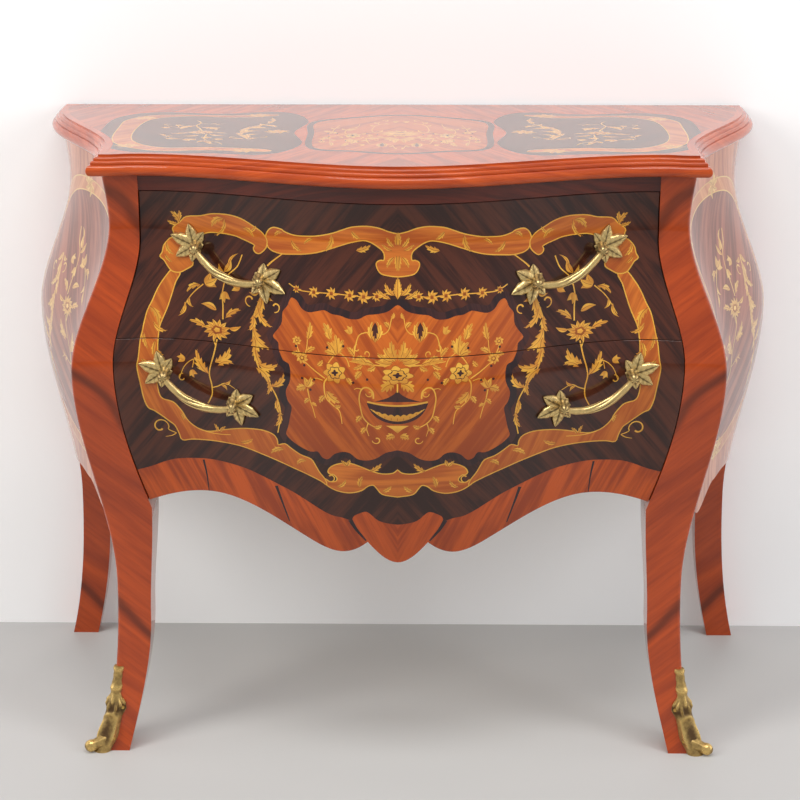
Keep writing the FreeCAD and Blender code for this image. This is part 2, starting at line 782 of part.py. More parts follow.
back_span = ("-back_leg_inner", "back_leg_inner")
panel_front = "back_panel_inset + back_panel_thickness"
front_of_back_rail = f"{panel_front} + back_rail_thickness"
bottom_under = "bottom_level - bottom_thickness"
back_low = f"{bottom_under} - low_back_rail_height"
divider_levels = ("divider_top - divider_thickness", "divider_top")


def back_rail(name, levels):
    return box(name, back_span, (panel_front, front_of_back_rail), levels)


top_back_rail = back_rail("upper_back_rail", ("case_top - top_back_rail_height", "case_top"))
low_back_rail = back_rail("low_back_rail", (back_low, bottom_under))
node("middle_back_rail", back_rail("mid_back_rail", divider_levels))
panel_blank = box("panel_blank", back_span, ("back_panel_inset", panel_front), (back_low, "case_top"))

divider_depths = ("divider_front - divider_width", "divider_front")
wide = ("-overall_width / 2", "overall_width / 2")
bottom_levels = (bottom_under, "bottom_level")
divider_blank = box("divider_blank", wide, divider_depths, divider_levels)
bottom_rail_blank = box("bottom_rail_blank", wide, divider_depths, bottom_levels)
whole_opening = opening_prism("opening_cut", s.sill_height, case_height, 0)
node("divider_rail", common("divider", divider_blank, whole_opening))
node("bottom_front_rail", common("bottom_rail", bottom_rail_blank, whole_opening))
behind_divider = "divider_front - divider_width"
bottom_blank = box("bottom_blank", wide, (front_of_back_rail, behind_divider), bottom_levels)
node("case_bottom", common("bottom_panel", bottom_blank, inside))

# ---------------------------------------------------------------- runners, kickers, stops and blocks


def runner(name, half, level, base):
    """Runner with its side guide, right hand."""
    long = (front_of_back_rail, behind_divider)
    inner = f"{half} + running_gap"
    edge = f"{half} - drawer_side_thickness - runner_lap"
    outer = f"{edge} + runner_width"
    shelf = box(name + "_shelf", (edge, outer), long, (f"{level} - ( {base} )", level))
    guide = box(name + "_guide", (inner, outer), long, (level, f"{level} + guide_height"))
    return fused(name, shelf, guide)


lower_level = "bottom_level + wear_strip"
upper_runner = runner("upper_runner", "upper_box_half", "divider_top", "divider_thickness")
lower_runner = runner("lower_runner", "lower_box_half", lower_level, "wear_strip")
node("upper_right_runner", upper_runner)
node("upper_left_runner", mirror("left_upper_runner", upper_runner))
node("lower_right_runner", lower_runner)
node("lower_left_runner", mirror("left_lower_runner", lower_runner))


def stop(name, half, level):
    """Block at the back end of a runner that the drawer side meets."""
    across = (f"{half} - drawer_side_thickness", half)
    depths = (front_of_back_rail, "drawer_back_depth")
    return box(name, across, depths, (level, f"{level} + guide_height + 10"))


def both_hands(items):
    return list(items) + [mirror(item.Name + "_left", item) for item in items]


stops = [
    stop("upper_stop", "upper_box_half", "divider_top"),
    stop("lower_stop", "lower_box_half", lower_level),
]
node("drawer_stops", group("stop_blocks", both_hands(stops)))

kicker_edge = "upper_box_half - drawer_side_thickness - runner_lap"
kicker_blank = box(
    "kicker_blank",
    (kicker_edge, f"{kicker_edge} + kicker_width"),
    (front_of_back_rail, "post_back"),
    ("case_top - kicker_height", "case_top"),
)


def block(name, corner, toward_x, toward_depth):
    """Three-cornered glue block in a corner under the top; corner is (x, depth)."""
    x, depth = corner
    low = case_height - s.block_height
    corners = [
        point(x, depth, low),
        point(x + toward_x * s.block_leg, depth, low),
        point(x, depth + toward_depth * s.block_leg, low),
    ]
    edges = [line(start, end) for start, end in zip(corners, corners[1:] + corners[:1])]
    plan = shape_of(name + "_plan", outline_face(edges))
    return extruded(name, plan, UP, "block_height")


back_rail_face = s.back_panel_inset + s.back_panel_thickness + s.back_rail_thickness
back_block = block("back_block", (s.back_leg_inner, back_rail_face), -1, 1)
rail_face = front_depth(s.opening_waist, case_height) - s.front_thickness
front_block_corner = (s.opening_waist, rail_face + s.block_overrun)
front_block_blank = block("front_block_blank", front_block_corner, -1, -1)
front_block = cut("front_block", front_block_blank, front_skin)
node("glue_blocks", group("corner_blocks", both_hands([back_block, front_block])))

# ---------------------------------------------------------------- screws of the top and the back


def top_screw(name, depth):
    """Screw up through the right kicker into the top, and the bore below its head."""
    x = s.upper_box_half - s.drawer_side_thickness - s.runner_lap + s.kicker_width / 2
    seat = point(x, depth, case_height - s.kicker_wood_under_head)
    shank = rod(name + "_shank", "screw_radius", "kicker_wood_under_head + top_screw_bite", seat, UP)
    head = rod(name + "_head", "screw_head_radius", "screw_head_height", seat, DOWN)
    bore = rod(name + "_bore", "screw_head_radius + screw_head_clearance", "kicker_height", seat, DOWN)
    return fused(name, shank, head), bore


back_screw, back_bore = top_screw("top_screw_back", s.back_leg_thickness + s.top_screw_inset)
front_screw, front_bore = top_screw("top_screw_front", s.post_back - s.top_screw_inset)
top_screws = node("top_screws", group("screws_of_top", both_hands([back_screw, front_screw])))
right_kicker = cut("right_kicker", kicker_blank, back_screw, front_screw, back_bore, front_bore)
node("right_kicker", right_kicker)
node("left_kicker", mirror("kicker_left", right_kicker))
node("top_board", cut("top_with_holes", top_blank, top_screws))


def panel_screw(name, x, z):
    """Screw through the back panel into a rail."""
    start = point(x, s.back_panel_inset, z)
    shank = rod(name + "_shank", "panel_screw_radius", "panel_screw_length", start, FORWARD)
    head = rod(name + "_head", "panel_screw_radius * 2", "panel_screw_radius", start, BACKWARD)
    return fused(name, shank, head)


upper_row = case_height - s.top_back_rail_height / 2
lower_row = s.bottom_level - s.bottom_thickness - s.low_back_rail_height / 2
panel_screws = [
    panel_screw(f"panel_screw_{row}_{place}", share * s.back_leg_inner, z)
    for row, z in enumerate((upper_row, lower_row), 1)
    for place, share in enumerate((-0.9, -0.3, 0.3, 0.9), 1)
]
back_screws = node("back_panel_screws", group("screws_of_back", panel_screws))
node("back_panel", cut("panel_with_holes", panel_blank, back_screws))
node("top_back_rail", cut("top_rail_drilled", top_back_rail, back_screws))
node("lower_back_rail", cut("low_rail_drilled", low_back_rail, back_screws))

# ---------------------------------------------------------------- drawers

seam_low = s.seam_height - s.drawer_gap / 2
seam_high = s.seam_height + s.drawer_gap / 2


def apron_edges():
    """Height where the lower drawer front's side edge ends, and the edges of its apron."""
    side = shifted(OPENING_EDGE, -s.drawer_gap)
    low, high = s.sill_height, s.knee_height
    for _ in range(60):
        middle = (low + high) / 2
        if value_at(APRON, value_at(side, middle)) > middle:
            low = middle
        else:
            high = middle
    end = (low + high) / 2
    half = value_at(side, end)
    right = trimmed(APRON, s.notch_offset, half)
    right[0] = APRON[0]
    pendant = mirrored(PENDANT)[:-1] + PENDANT
    return end, [curve_edge(stations, front_place) for stations in (pendant, right, mirrored(right))]


apron_top, apron = apron_edges()
FRONTS = {
    "upper": opening_face(seam_high, s.opening_top - s.drawer_gap, s.drawer_gap),
    "lower": opening_face(apron_top, seam_low, s.drawer_gap, apron),
}
inner_surface = front_surface("front_inner_surface", s.front_thickness)
groove_surface = front_surface("groove_surface", s.front_thickness - s.groove_depth)
behind_front = extruded("behind_front", inner_surface, BACKWARD, "overall_depth")
behind_groove = extruded("behind_groove", groove_surface, BACKWARD, "overall_depth")
plate_skin = extruded("plate_skin", front_surface("plate_surface", 0), FORWARD, "rosette_thickness")


def post_places(drawer):
    """(x, z) of the outer and inner post of a drawer's right-hand handle."""
    if drawer == "upper":
        edge, top = s.opening_waist, s.opening_top
        outer = (s.upper_handle_outer_inset, s.upper_handle_outer_drop)
        inner = (s.upper_handle_inner_inset, s.upper_handle_inner_drop)
    else:
        edge, top = s.opening_knee, s.seam_height
        outer = (s.lower_handle_outer_inset, s.lower_handle_outer_drop)
        inner = (s.lower_handle_inner_inset, s.lower_handle_inner_drop)
    return [(edge - inset, top - drop) for inset, drop in (outer, inner)]


def bolt(name, x, z):
    """Bolt from inside the drawer front into a handle's post, with the recess for its head."""
    seat = front_depth(x, z) - s.front_thickness + s.bolt_recess
    start = point(x, seat, z)
    length = "front_thickness - bolt_recess + handle_bolt_bite"
    shank = rod(name + "_shank", "screw_radius", length, start, FORWARD)
    head = rod(name + "_head", "screw_head_radius", "screw_head_height", start, BACKWARD)
    recess_radius = "screw_head_radius + screw_head_clearance"
    recess = rod(name + "_recess", recess_radius, "front_thickness", start, BACKWARD)
    return fused(name, shank, head), recess


def rounded_path(points, radius):
    """Straight runs joined by tangent arcs."""
    edges = []
    start = points[0]
    for before, corner, after in zip(points, points[1:], points[2:]):
        into = (corner - before).normalize()
        out = (after - corner).normalize()
        turn = into.getAngle(out)
        tangent = radius * math.tan(turn / 2)
        entry = corner - into * tangent
        leave = corner + out * tangent
        bisector = (out - into).normalize()
        centre = corner + bisector * (radius / math.cos(turn / 2))
        middle = centre - bisector * radius
        edges.append(line(start, entry))
        edges.append(Part.Arc(entry, middle, leave).toShape())
        start = leave
    edges.append(line(start, points[-1]))
    return Part.Wire(edges)


def ball(name, radius, centre):
    """Ball whose seam is at the top and whose poles point forward and back."""
    item = doc.addObject("Part::Sphere", name)
    item.Placement = FreeCAD.Placement(centre, FreeCAD.Rotation(UP, INWARD, FORWARD))
    return bind(item, Radius=radius)


def leaf_plate(name, post, other_post):
    """Back plate of a handle, beyond its post: a disc and five leaves over the front's surface."""
    away = Vector(post[0] - other_post[0], 0, post[1] - other_post[1]).normalize()
    front = point(post[0], s.overall_depth + s.handle_standoff, post[1]) + away * s.rosette_offset
    discs = [rod(f"{name}_middle", "rosette_radius", "overall_depth", front, BACKWARD)]
    for leaf in range(5):
        turn = FreeCAD.Rotation(BACKWARD, 72 * leaf)
        centre = front + turn.multVec(away) * s.leaf_offset
        discs.append(rod(f"{name}_leaf_{leaf + 1}", "leaf_radius", "overall_depth", centre, BACKWARD))
    return common(name, fused(f"{name}_outline", *discs), plate_skin)


def handle(drawer):
    """Right-hand pull: two leaf plates, two posts and a swept bar, cast in one piece."""
    name = f"{drawer}_pull"
    pieces = []
    bar_ends = []
    posts = post_places(drawer)
    for index, (x, z) in enumerate(posts, 1):
        surface = front_depth(x, z)
        foot = point(x, surface + s.rosette_thickness / 2, z)
        end = point(x, surface + s.handle_standoff, z)
        length = "handle_standoff - rosette_thickness / 2"
        pieces += [
            leaf_plate(f"{name}_plate_{index}", (x, z), posts[2 - index]),
            rod(f"{name}_post_{index}", "handle_post_radius", length, foot, FORWARD),
            ball(f"{name}_knuckle_{index}", "handle_post_radius + 1", end),
        ]
        bar_ends.append(end)
    outer, inner = bar_ends
    span = inner - outer
    sag = Vector(0, 0, -s.handle_sag)
    low_outer, low_inner = outer + span * 0.32 + sag, outer + span * 0.62 + sag
    route = [outer, low_outer, low_inner, inner]
    spine = shape_of(f"{name}_spine", rounded_path(route, abs(span.x) * 0.3))
    ring = shape_of(
        f"{name}_ring",
        Part.Wire(Part.Circle(outer, low_outer - outer, s.handle_bar_radius).toShape()),
    )
    bar = doc.addObject("Part::Sweep", f"{name}_bar")
    bar.Sections = [ring]
    bar.Spine = (spine, [f"Edge{number}" for number in range(1, len(spine.Shape.Edges) + 1)])
    bar.Solid = True
    return fused(name, bar, *pieces)


def drawer(drawer_name, box_half, box_height, level):
    """All the pieces of one drawer."""
    low = f"{level} + running_gap"
    high = f"{low} + {box_height}"
    inner = f"{box_half} - drawer_side_thickness"
    depths = ("drawer_back_depth + running_gap", "overall_depth")
    front_template = shape_of(f"{drawer_name}_front_template", FRONTS[drawer_name])
    outline = extruded(f"{drawer_name}_front_cut", front_template, FORWARD, "overall_depth")
    front_blank = common(f"{drawer_name}_front_blank", front_skin, outline)
    panel_low = f"{low} + drawer_bottom_rise"
    panel_high = f"{panel_low} + drawer_bottom_thickness"
    panel_half = f"{inner} + groove_depth"
    bottom_across = (f"- ( {panel_half} )", panel_half)
    bottom_blank = box(f"{drawer_name}_bottom_blank", bottom_across, depths, (panel_low, panel_high))
    bottom = common(f"{drawer_name}_bottom_panel", bottom_blank, behind_groove)
    side_board = box(f"{drawer_name}_side_board", (inner, box_half), depths, (low, high))
    side_blank = common(f"{drawer_name}_side_blank", side_board, behind_front)
    side = cut(f"{drawer_name}_side", side_blank, bottom)
    back_depths = (depths[0], f"{depths[0]} + drawer_side_thickness")
    back_levels = (panel_high, f"{high} - drawer_back_drop")
    back = box(f"{drawer_name}_back", (f"- ( {inner} )", inner), back_depths, back_levels)
    right_handle = handle(drawer_name)
    bolts, recesses = zip(*[
        bolt(f"{drawer_name}_bolt_{index}", x, z)
        for index, (x, z) in enumerate(post_places(drawer_name), 1)
    ])
    all_bolts = group(f"{drawer_name}_bolts", both_hands(bolts))
    front = cut(f"{drawer_name}_front", front_blank, bottom, all_bolts, *both_hands(recesses))
    drilled = cut(f"{drawer_name}_right_pull", right_handle, all_bolts)
    node(f"{drawer_name}_drawer_front", front)
    node(f"{drawer_name}_drawer_right_side", side)
    node(f"{drawer_name}_drawer_left_side", mirror(f"{drawer_name}_left_side", side))
    node(f"{drawer_name}_drawer_back", back)
    node(f"{drawer_name}_drawer_bottom", bottom)
    node(f"{drawer_name}_right_handle", drilled)
    node(f"{drawer_name}_left_handle", mirror(f"{drawer_name}_left_pull", drilled))
    node(f"{drawer_name}_handle_bolts", all_bolts)


drawer("upper", "upper_box_half", "upper_box_height", "divider_top")
drawer("lower", "lower_box_half", "lower_box_height", lower_level)

# ---------------------------------------------------------------- brass shoes

# The shoe's body is round in plan.  Over its height: how far its axis lies in from the leg's outline,
# how far it lies behind the leg's face, and its radius.
leaf = s.sabot_leaf_height
SHOE_INWARD = [
    (0, -1, 0), (leaf * 0.32, 2.5, 0.1), (leaf * 0.72, 4.5, 0.1), (leaf, 7, 0),
    (leaf * 1.32, 3.5, 0), (s.sabot_height, 4, 0),
]
SHOE_BEHIND = [
    (0, 3, 0), (leaf * 0.32, 4, 0), (leaf * 0.72, 5, 0.05), (leaf, 7, 0),
    (leaf * 1.32, 3.5, 0), (s.sabot_height, 3, 0),
]
SHOE_RADIUS = [
    (0, 12.5, 0), (leaf * 0.32, 14.5, 0), (leaf * 0.72, 13, 0), (leaf, 15, 0),
    (leaf * 1.32, 7.5, 0), (s.sabot_height, 6.5, 0),
]
SHOE_STEPS = 14


def shoe_ring(height):
    """Centre and radius of the shoe's body at a height."""
    x = value_at(LEG_OUTLINE, height) - value_at(SHOE_INWARD, height)
    depth = value_at(LEG_FACE, height) - value_at(SHOE_BEHIND, height)
    return point(x, depth, height), value_at(SHOE_RADIUS, height)


shoe_rings = []
for step in range(SHOE_STEPS + 1):
    centre, radius = shoe_ring(s.sabot_height * step / SHOE_STEPS)
    circle = Part.Circle(centre, UP, radius).toShape()
    shoe_rings.append(shape_of(f"shoe_ring_{step}", Part.Wire(circle)))
shoe_body = doc.addObject("Part::Loft", "shoe_body")
shoe_body.Sections = shoe_rings
shoe_body.Solid = True
shoe_body.Ruled = True
toe_end = point(foot_half + s.toe_out, foot_depth + s.toe_forward, s.toe_height)
toe_start = point(foot_half, foot_depth, s.toe_root_radius) + Vector(-4, 6, 0.5)
toe_axis = toe_end - toe_start
toe_root = doc.addObject("Part::Cone", "toe_root")
bind(toe_root, Radius1="toe_root_radius", Radius2="toe_radius * 0.85")
toe_root.Height = toe_axis.Length
toe_root.Placement = FreeCAD.Placement(toe_start, FreeCAD.Rotation(UP, toe_axis))
shoe_blank = fused("shoe_blank", shoe_body, toe_root, ball("toe", "toe_radius", toe_end))


def pin(name, height):
    """Pin through the front of the shoe into the leg."""
    centre, radius = shoe_ring(height)
    aside = radius * 0.6
    surface = centre.y - math.sqrt(radius**2 - aside**2)
    start = Vector(centre.x - aside, surface + s.pin_head_height, height)
    shank = rod(name + "_shank", "pin_radius", "pin_length", start, BACKWARD)
    head = rod(name + "_head", "pin_head_radius", "pin_head_height * 2", start, FORWARD)
    return fused(name, shank, head)


pins = [pin("low_pin", leaf * 0.32), pin("high_pin", leaf)]
node("sabot_pins", group("shoe_pins", both_hands(pins)))
shoe = cut("right_shoe", shoe_blank, right_leg, *pins)
node("right_sabot", shoe)
node("left_sabot", mirror("left_shoe", shoe))
drilled_leg = cut("right_leg_drilled", right_leg, *pins)
node("front_right_leg", drilled_leg)
node("front_left_leg", mirror("left_leg_drilled", drilled_leg))

# ---------------------------------------------------------------- check and write

doc.recompute()
failed = [item.Name for item in doc.Objects if "Invalid" in item.State or "Error" in item.State]
if failed:
    raise RuntimeError(f"features that failed: {failed}")
unsound = [
    label for label, item in nodes.items()
    if item.Shape.isNull() or not item.Shape.isValid() or not item.Shape.Solids
]
if unsound:
    raise RuntimeError(f"sub-parts with no valid solid: {unsound}")
os.makedirs("parts", exist_ok=True)
for label, item in nodes.items():
    item.Shape.exportStep(f"parts/{label}.step")
print(len(nodes), "sub-parts written")
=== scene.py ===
"""Looks of a bombe chest: veneers, marquetry, mouldings and cast brass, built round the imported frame.

Lengths in the tables are millimetres: x across, d half distance from the middle, depth forward of the
back plane, z up from the floor.
"""

import json
import math

import bpy
import numpy as np
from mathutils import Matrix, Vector
from mathutils.geometry import delaunay_2d_cdt

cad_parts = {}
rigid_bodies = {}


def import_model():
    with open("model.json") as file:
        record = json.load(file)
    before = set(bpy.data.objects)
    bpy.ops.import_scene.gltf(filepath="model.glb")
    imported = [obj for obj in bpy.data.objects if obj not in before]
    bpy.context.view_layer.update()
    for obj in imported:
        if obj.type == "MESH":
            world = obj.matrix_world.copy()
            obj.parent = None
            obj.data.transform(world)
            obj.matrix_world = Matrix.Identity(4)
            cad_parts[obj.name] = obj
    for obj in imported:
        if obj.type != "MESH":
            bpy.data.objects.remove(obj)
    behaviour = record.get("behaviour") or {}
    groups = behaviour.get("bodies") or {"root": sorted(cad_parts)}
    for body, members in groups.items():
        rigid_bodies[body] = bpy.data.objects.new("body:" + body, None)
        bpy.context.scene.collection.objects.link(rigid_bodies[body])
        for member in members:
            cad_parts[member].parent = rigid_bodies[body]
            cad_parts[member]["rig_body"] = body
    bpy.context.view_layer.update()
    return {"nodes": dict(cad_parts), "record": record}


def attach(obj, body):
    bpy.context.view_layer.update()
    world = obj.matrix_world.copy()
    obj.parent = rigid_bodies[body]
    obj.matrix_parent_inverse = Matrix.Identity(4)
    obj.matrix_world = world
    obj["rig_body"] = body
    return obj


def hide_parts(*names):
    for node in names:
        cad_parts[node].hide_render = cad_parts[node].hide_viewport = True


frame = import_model()

BACK_Y = 266.5  # back plane of the chest, in room coordinates
TOP = 835
CASE_TOP = 807
SPREAD = 107  # how far the sides sweep out from the front corner to the back
FRONT_THICK = 24
SIDE_THICK = 18
LIPPING = 10  # width of the moulding on the top
FRONT_TOP, SEAM_TOP, SEAM_LOW = 784, 592.5, 591.5  # edges of the drawer fronts
OPENING_CLEARANCE = 1  # between a front and the stiles
SIDE_BACK, SIDE_FRONT = 32, 350  # depths where a side panel meets its legs
BOLT_RADIUS, BOLT_DEPTH = 4.5, 4.0  # recesses for the handles' bolts
REAR_SPACING = 14  # least distance of the points on a board's back
WOOD_CREASE, BRASS_CREASE = 32, 50  # degrees above which an edge is sharp
SHOE_HEIGHT = 118

# Room and camera, in metres, millimetres of lens and degrees.
WALL_Y = 0.274
CAMERA_LENS, CAMERA_PLACE, CAMERA_TILT, CAMERA_TURN = 96.75, (0.037, -2.9125, 1.344), 16.92, 0.73
SEEING_RAYS = ("Is Camera Ray", "Is Glossy Ray", "Is Transmission Ray")
SKY_DIM, SKY_SEEN = 0.09, 0.4  # world for other rays, and what each seeing ray adds

# Stations (place, value, slope) of the curves that shape the case.
LEG_FACE = [(0, 450, -0.25), (238, 419, 0), (545, 440, 0), (742, 399, 0), (807, 403, 0.08)]
LEG_OUTLINE = [(0, 413, -0.25), (238, 389, 0), (545, 436, 0), (742, 384, 0), (807, 391, 0.15)]
BOW = [(0, 77, 0), (238, 77, 0), (545, 93, 0), (742, 83, 0), (807, 83, 0)]
SERPENTINE = [(0, 1, 0), (150, 0.6, -0.005), (330, -0.05, 0), (376, 0, 0), (543, 0, 0)]
SWEEP = [(-40, 1, 0), (30, 1, 0), (355, 0, 0), (533, 0, 0)]
OPENING = [(352, 336, 0.36), (557, 379.5, 0), (722, 343, 0), (807, 343, 0)]
PENDANT = [(0, 302.5, 0), (40, 332, 1.2)]
APRON = [
    (40, 332, -0.9), (76, 315.5, 0), (125, 334, 0.55), (252, 380.5, 0), (342, 361, -0.36), (379.5, 347.5, -0.36),
]
SIDE_LOW = (
    [(32, 303, 0.1), (130, 312, 0), (170, 305, 0)],
    [(170, 305, -0.5), (212, 271, 0), (254, 305, 0.5)],
    [(254, 305, 0), (294, 312, 0), (350, 303, -0.1)],
)
TOP_FRONT = [(0, 492, 0), (347, 405, 0), (382, 411, 0), (422, 411, 0)]

# Places (x, z) of each drawer's handle posts, outer and inner, on the right half.
POSTS = {"upper": ((267.5, 712.5), (181.5, 677.5)), "lower": ((310.5, 547), (218, 512.5))}

# Knuckle that joins a handle's bar to its leaves, as (distance from the plate, radius).
KNUCKLE = [
    (0, 8.6), (2, 8.8), (4.5, 8), (6.5, 6.2), (9, 5.2), (13, 4.8), (16.5, 5.4), (18.5, 6.6), (21, 7.2),
    (24, 7.3), (27, 6.6), (29.5, 4.9), (31, 2.6), (31.5, 0.3),
]
# The brass shoe by height: how far its middle lies in from the leg's outer edge and face, and its radius.
SHOE_INWARD = [(0, -1, 0), (20, 2.5, 0.1), (45, 4.5, 0.1), (62, 7, 0), (82, 3.5, 0), (118, 4, 0)]
SHOE_BEHIND = [(0, 3, 0), (20, 4, 0), (45, 5, 0.05), (62, 7, 0), (82, 3.5, 0), (118, 3, 0)]
SHOE_RADIUS = [(0, 12.5, 0), (20, 14.5, 0), (45, 13, 0), (62, 15, 0), (82, 7.5, 0), (118, 6.5, 0)]
# Scroll of the shoe's toe, as (share of the way along, radius).
TOE = [
    (-0.1, 12), (0.1, 11.6), (0.35, 10), (0.6, 8.3), (0.75, 7.6), (0.88, 8.1), (1.0, 8.6), (1.12, 8.5),
    (1.24, 7.6), (1.34, 6.0), (1.41, 3.9), (1.43, 2.5), (1.40, 1.6), (1.37, 0.3),
]

# Woods of the marquetry, by their place in the list of materials.
GROUND, BAND, CARTOUCHE, BOX, DARK, APRON_WOOD, AMBER = range(7)


def curve(stations, place):
    """Values of a curve of stations."""
    table = np.array(stations, float)
    place = np.asarray(place, float)
    i = np.clip(np.searchsorted(table[:, 0], place, side="right") - 1, 0, len(table) - 2)
    low, high = table[i], table[i + 1]
    run = high[..., 0] - low[..., 0]
    u = (place - low[..., 0]) / np.where(run == 0, 1, run)
    return (
        (2 * u**3 - 3 * u**2 + 1) * low[..., 1]
        + (u**3 - 2 * u**2 + u) * run * low[..., 2]
        + (3 * u**2 - 2 * u**3) * high[..., 1]
        + (u**3 - u**2) * run * high[..., 2]
    )


def front_depth(x, z):
    """Depth of the front's face."""
    return curve(LEG_FACE, z) + curve(SERPENTINE, np.abs(x)) * curve(BOW, z)


def side_half(depth, z):
    """Half width of the case at a side's face."""
    return curve(LEG_OUTLINE, z) + SPREAD * curve(SWEEP, depth)


# ---------------------------------------------------------------- shapes of the marquetry


class Motif:
    """A piece of veneer: its outline, its wood, the way its grain runs and the way it is shaded."""

    def __init__(self, outline, wood, grain=(1, 0), shade=(0, -1), amount=0.0):
        self.outline = np.array(outline, float)
        self.wood = wood
        self.grain = np.array(grain, float) / np.hypot(*grain)
        self.shade = np.array(shade, float) / np.hypot(*shade)
        self.amount = amount

    def mirrored(self):
        flip = np.array([-1, 1])
        return Motif(self.outline[::-1] * flip, self.wood, self.grain * flip, self.shade * flip, self.amount)

    def moved(self, change):
        """The same piece through a function of its points."""
        return Motif(change(self.outline), self.wood, self.grain, self.shade, self.amount)


def flow(points, closed=True, steps=4):
    """Smooth line through points."""
    p = np.array(points, float)
    n = len(p)
    out = []
    for i in range(n if closed else n - 1):
        if closed:
            a, b, c, d = p[i - 1], p[i], p[(i + 1) % n], p[(i + 2) % n]
        else:
            a, b, c, d = p[max(i - 1, 0)], p[i], p[i + 1], p[min(i + 2, n - 1)]
        for k in range(steps):
            t = k / steps
            out.append(
                b + 0.5 * t * (c - a) + t * t * (a - 2.5 * b + 2 * c - 0.5 * d)
                + t**3 * (1.5 * (b - c) + 0.5 * (d - a))
            )
    if not closed:
        out.append(p[-1])
    return np.array(out)


def area(outline):
    """Area of an outline, positive where it runs counter-clockwise."""
    x, y = np.array(outline).T
    return 0.5 * float(np.sum(x * np.roll(y, -1) - np.roll(x, -1) * y))


def grown(outline, by):
    """Outline moved outward by a distance."""
    p = np.array(outline, float)
    ahead = np.roll(p, -1, 0) - np.roll(p, 1, 0)
    ahead /= np.maximum(np.hypot(ahead[:, 0], ahead[:, 1]), 1e-9)[:, None]
    side = np.stack([ahead[:, 1], -ahead[:, 0]], 1)
    return p + side * by * (1 if area(p) > 0 else -1)


def strapwork(points, grain=(1, 0.2), string=1.5, smooth=True):
    """Orange band with a yellow string along its edge."""
    inner = flow(points, steps=3) if smooth else np.array(points, float)
    return [
        Motif(grown(inner, string), BOX, grain, (0, -1), 0.15),
        Motif(inner, BAND, grain, (0, -1), 0.55),
    ]


def ribbon(points, start, end, wood=BOX, shade=0.3):
    """Tapered stem along a line."""
    p = flow(points, False, 4)
    ahead = np.gradient(p, axis=0)
    ahead /= np.maximum(np.hypot(ahead[:, 0], ahead[:, 1]), 1e-9)[:, None]
    side = np.stack([-ahead[:, 1], ahead[:, 0]], 1)
    half = np.linspace(start, end, len(p))[:, None] / 2
    run = p[-1] - p[0]
    outline = np.vstack([p - side * half, (p + side * half)[::-1]])
    return [Motif(outline, wood, run + 1e-6, (-run[1], run[0] + 1e-6), shade)]


def leaf(base, tip, width, bend=0.15, lobes=0, vein=True, wood=BOX):
    """Leaf from its base to its tip; lobes cut its edges like an acanthus."""
    base, tip = np.array(base, float), np.array(tip, float)
    run = tip - base
    length = np.hypot(*run)
    across = np.array([-run[1], run[0]]) / length
    steps = 6 + 6 * max(lobes, 1)
    t = np.linspace(0, 1, steps + 1)
    middle = base + run * t[:, None] + across * (bend * length * 4 * t * (1 - t))[:, None]
    swell = np.sin(np.pi * np.clip(t, 0, 1) ** 0.8) * (1 - 0.35 * t) + 0.06 * (1 - t)
    outlines = []
    for hand in (1, -1):
        edge = swell.copy()
        slide = np.zeros_like(t)
        if lobes:
            phase = (t * lobes + (0.0 if hand > 0 else 0.4)) % 1
            edge = swell * (0.55 + 0.75 * phase)
            slide = 0.09 * phase * (t < 0.92)
        outlines.append(middle + across * (hand * edge * width / 2)[:, None] + run * slide[:, None])
    shape = np.vstack([outlines[1], outlines[0][::-1]])
    made = [Motif(shape, wood, run, -across * (1 if bend >= 0 else -1), 0.85)]
    if vein and length > 9:
        line = middle[1:-2]
        half = np.linspace(0.45, 0.15, len(line))[:, None]
        made.append(Motif(np.vstack([line - across * half, (line + across * half)[::-1]]), AMBER, run, run, 0.8))
    return made


def curl(centre, radius, start, sweep, width, tail=None):
    """Spiral tendril; angles in degrees."""
    turns = np.radians(np.linspace(start, start + sweep, 9 + int(abs(sweep) / 40)))
    grow = np.linspace(0.35, 1, len(turns))
    points = list(np.array(centre) + radius * (grow[:, None] * np.stack([np.cos(turns), np.sin(turns)], 1)))
    if tail is not None:
        points.append(np.array(tail, float))
    return ribbon(points, width * 1.3, width * 0.6)


def bloom(centre, wide, high, petals=10, turn=0.0):
    """Round flower: petals, a ring and an eye."""
    made = []
    cx, cz = centre
    for k in range(petals):
        angle = turn + 2 * math.pi * k / petals
        right, up = math.cos(angle), math.sin(angle)
        tip = (cx + right * wide, cz + up * high)
        base = (cx + right * wide * 0.2, cz + up * high * 0.2)
        made += leaf(base, tip, 2.4 * (wide + high) / petals, 0.05, 0, wide > 11)
    ring = np.linspace(0, 2 * math.pi, 20, endpoint=False)
    wave = 1 + 0.12 * np.cos(ring * 5)
    circle = np.stack([cx + wide * 0.38 * np.cos(ring) * wave, cz + high * 0.38 * np.sin(ring) * wave], 1)
    made.append(Motif(circle, AMBER, (1, 1), (0.3, -1), 0.7))
    made.append(Motif(np.array(centre) + (circle - centre) * 0.55, BOX, (1, 0), (0, -1), 0.5))
    return made


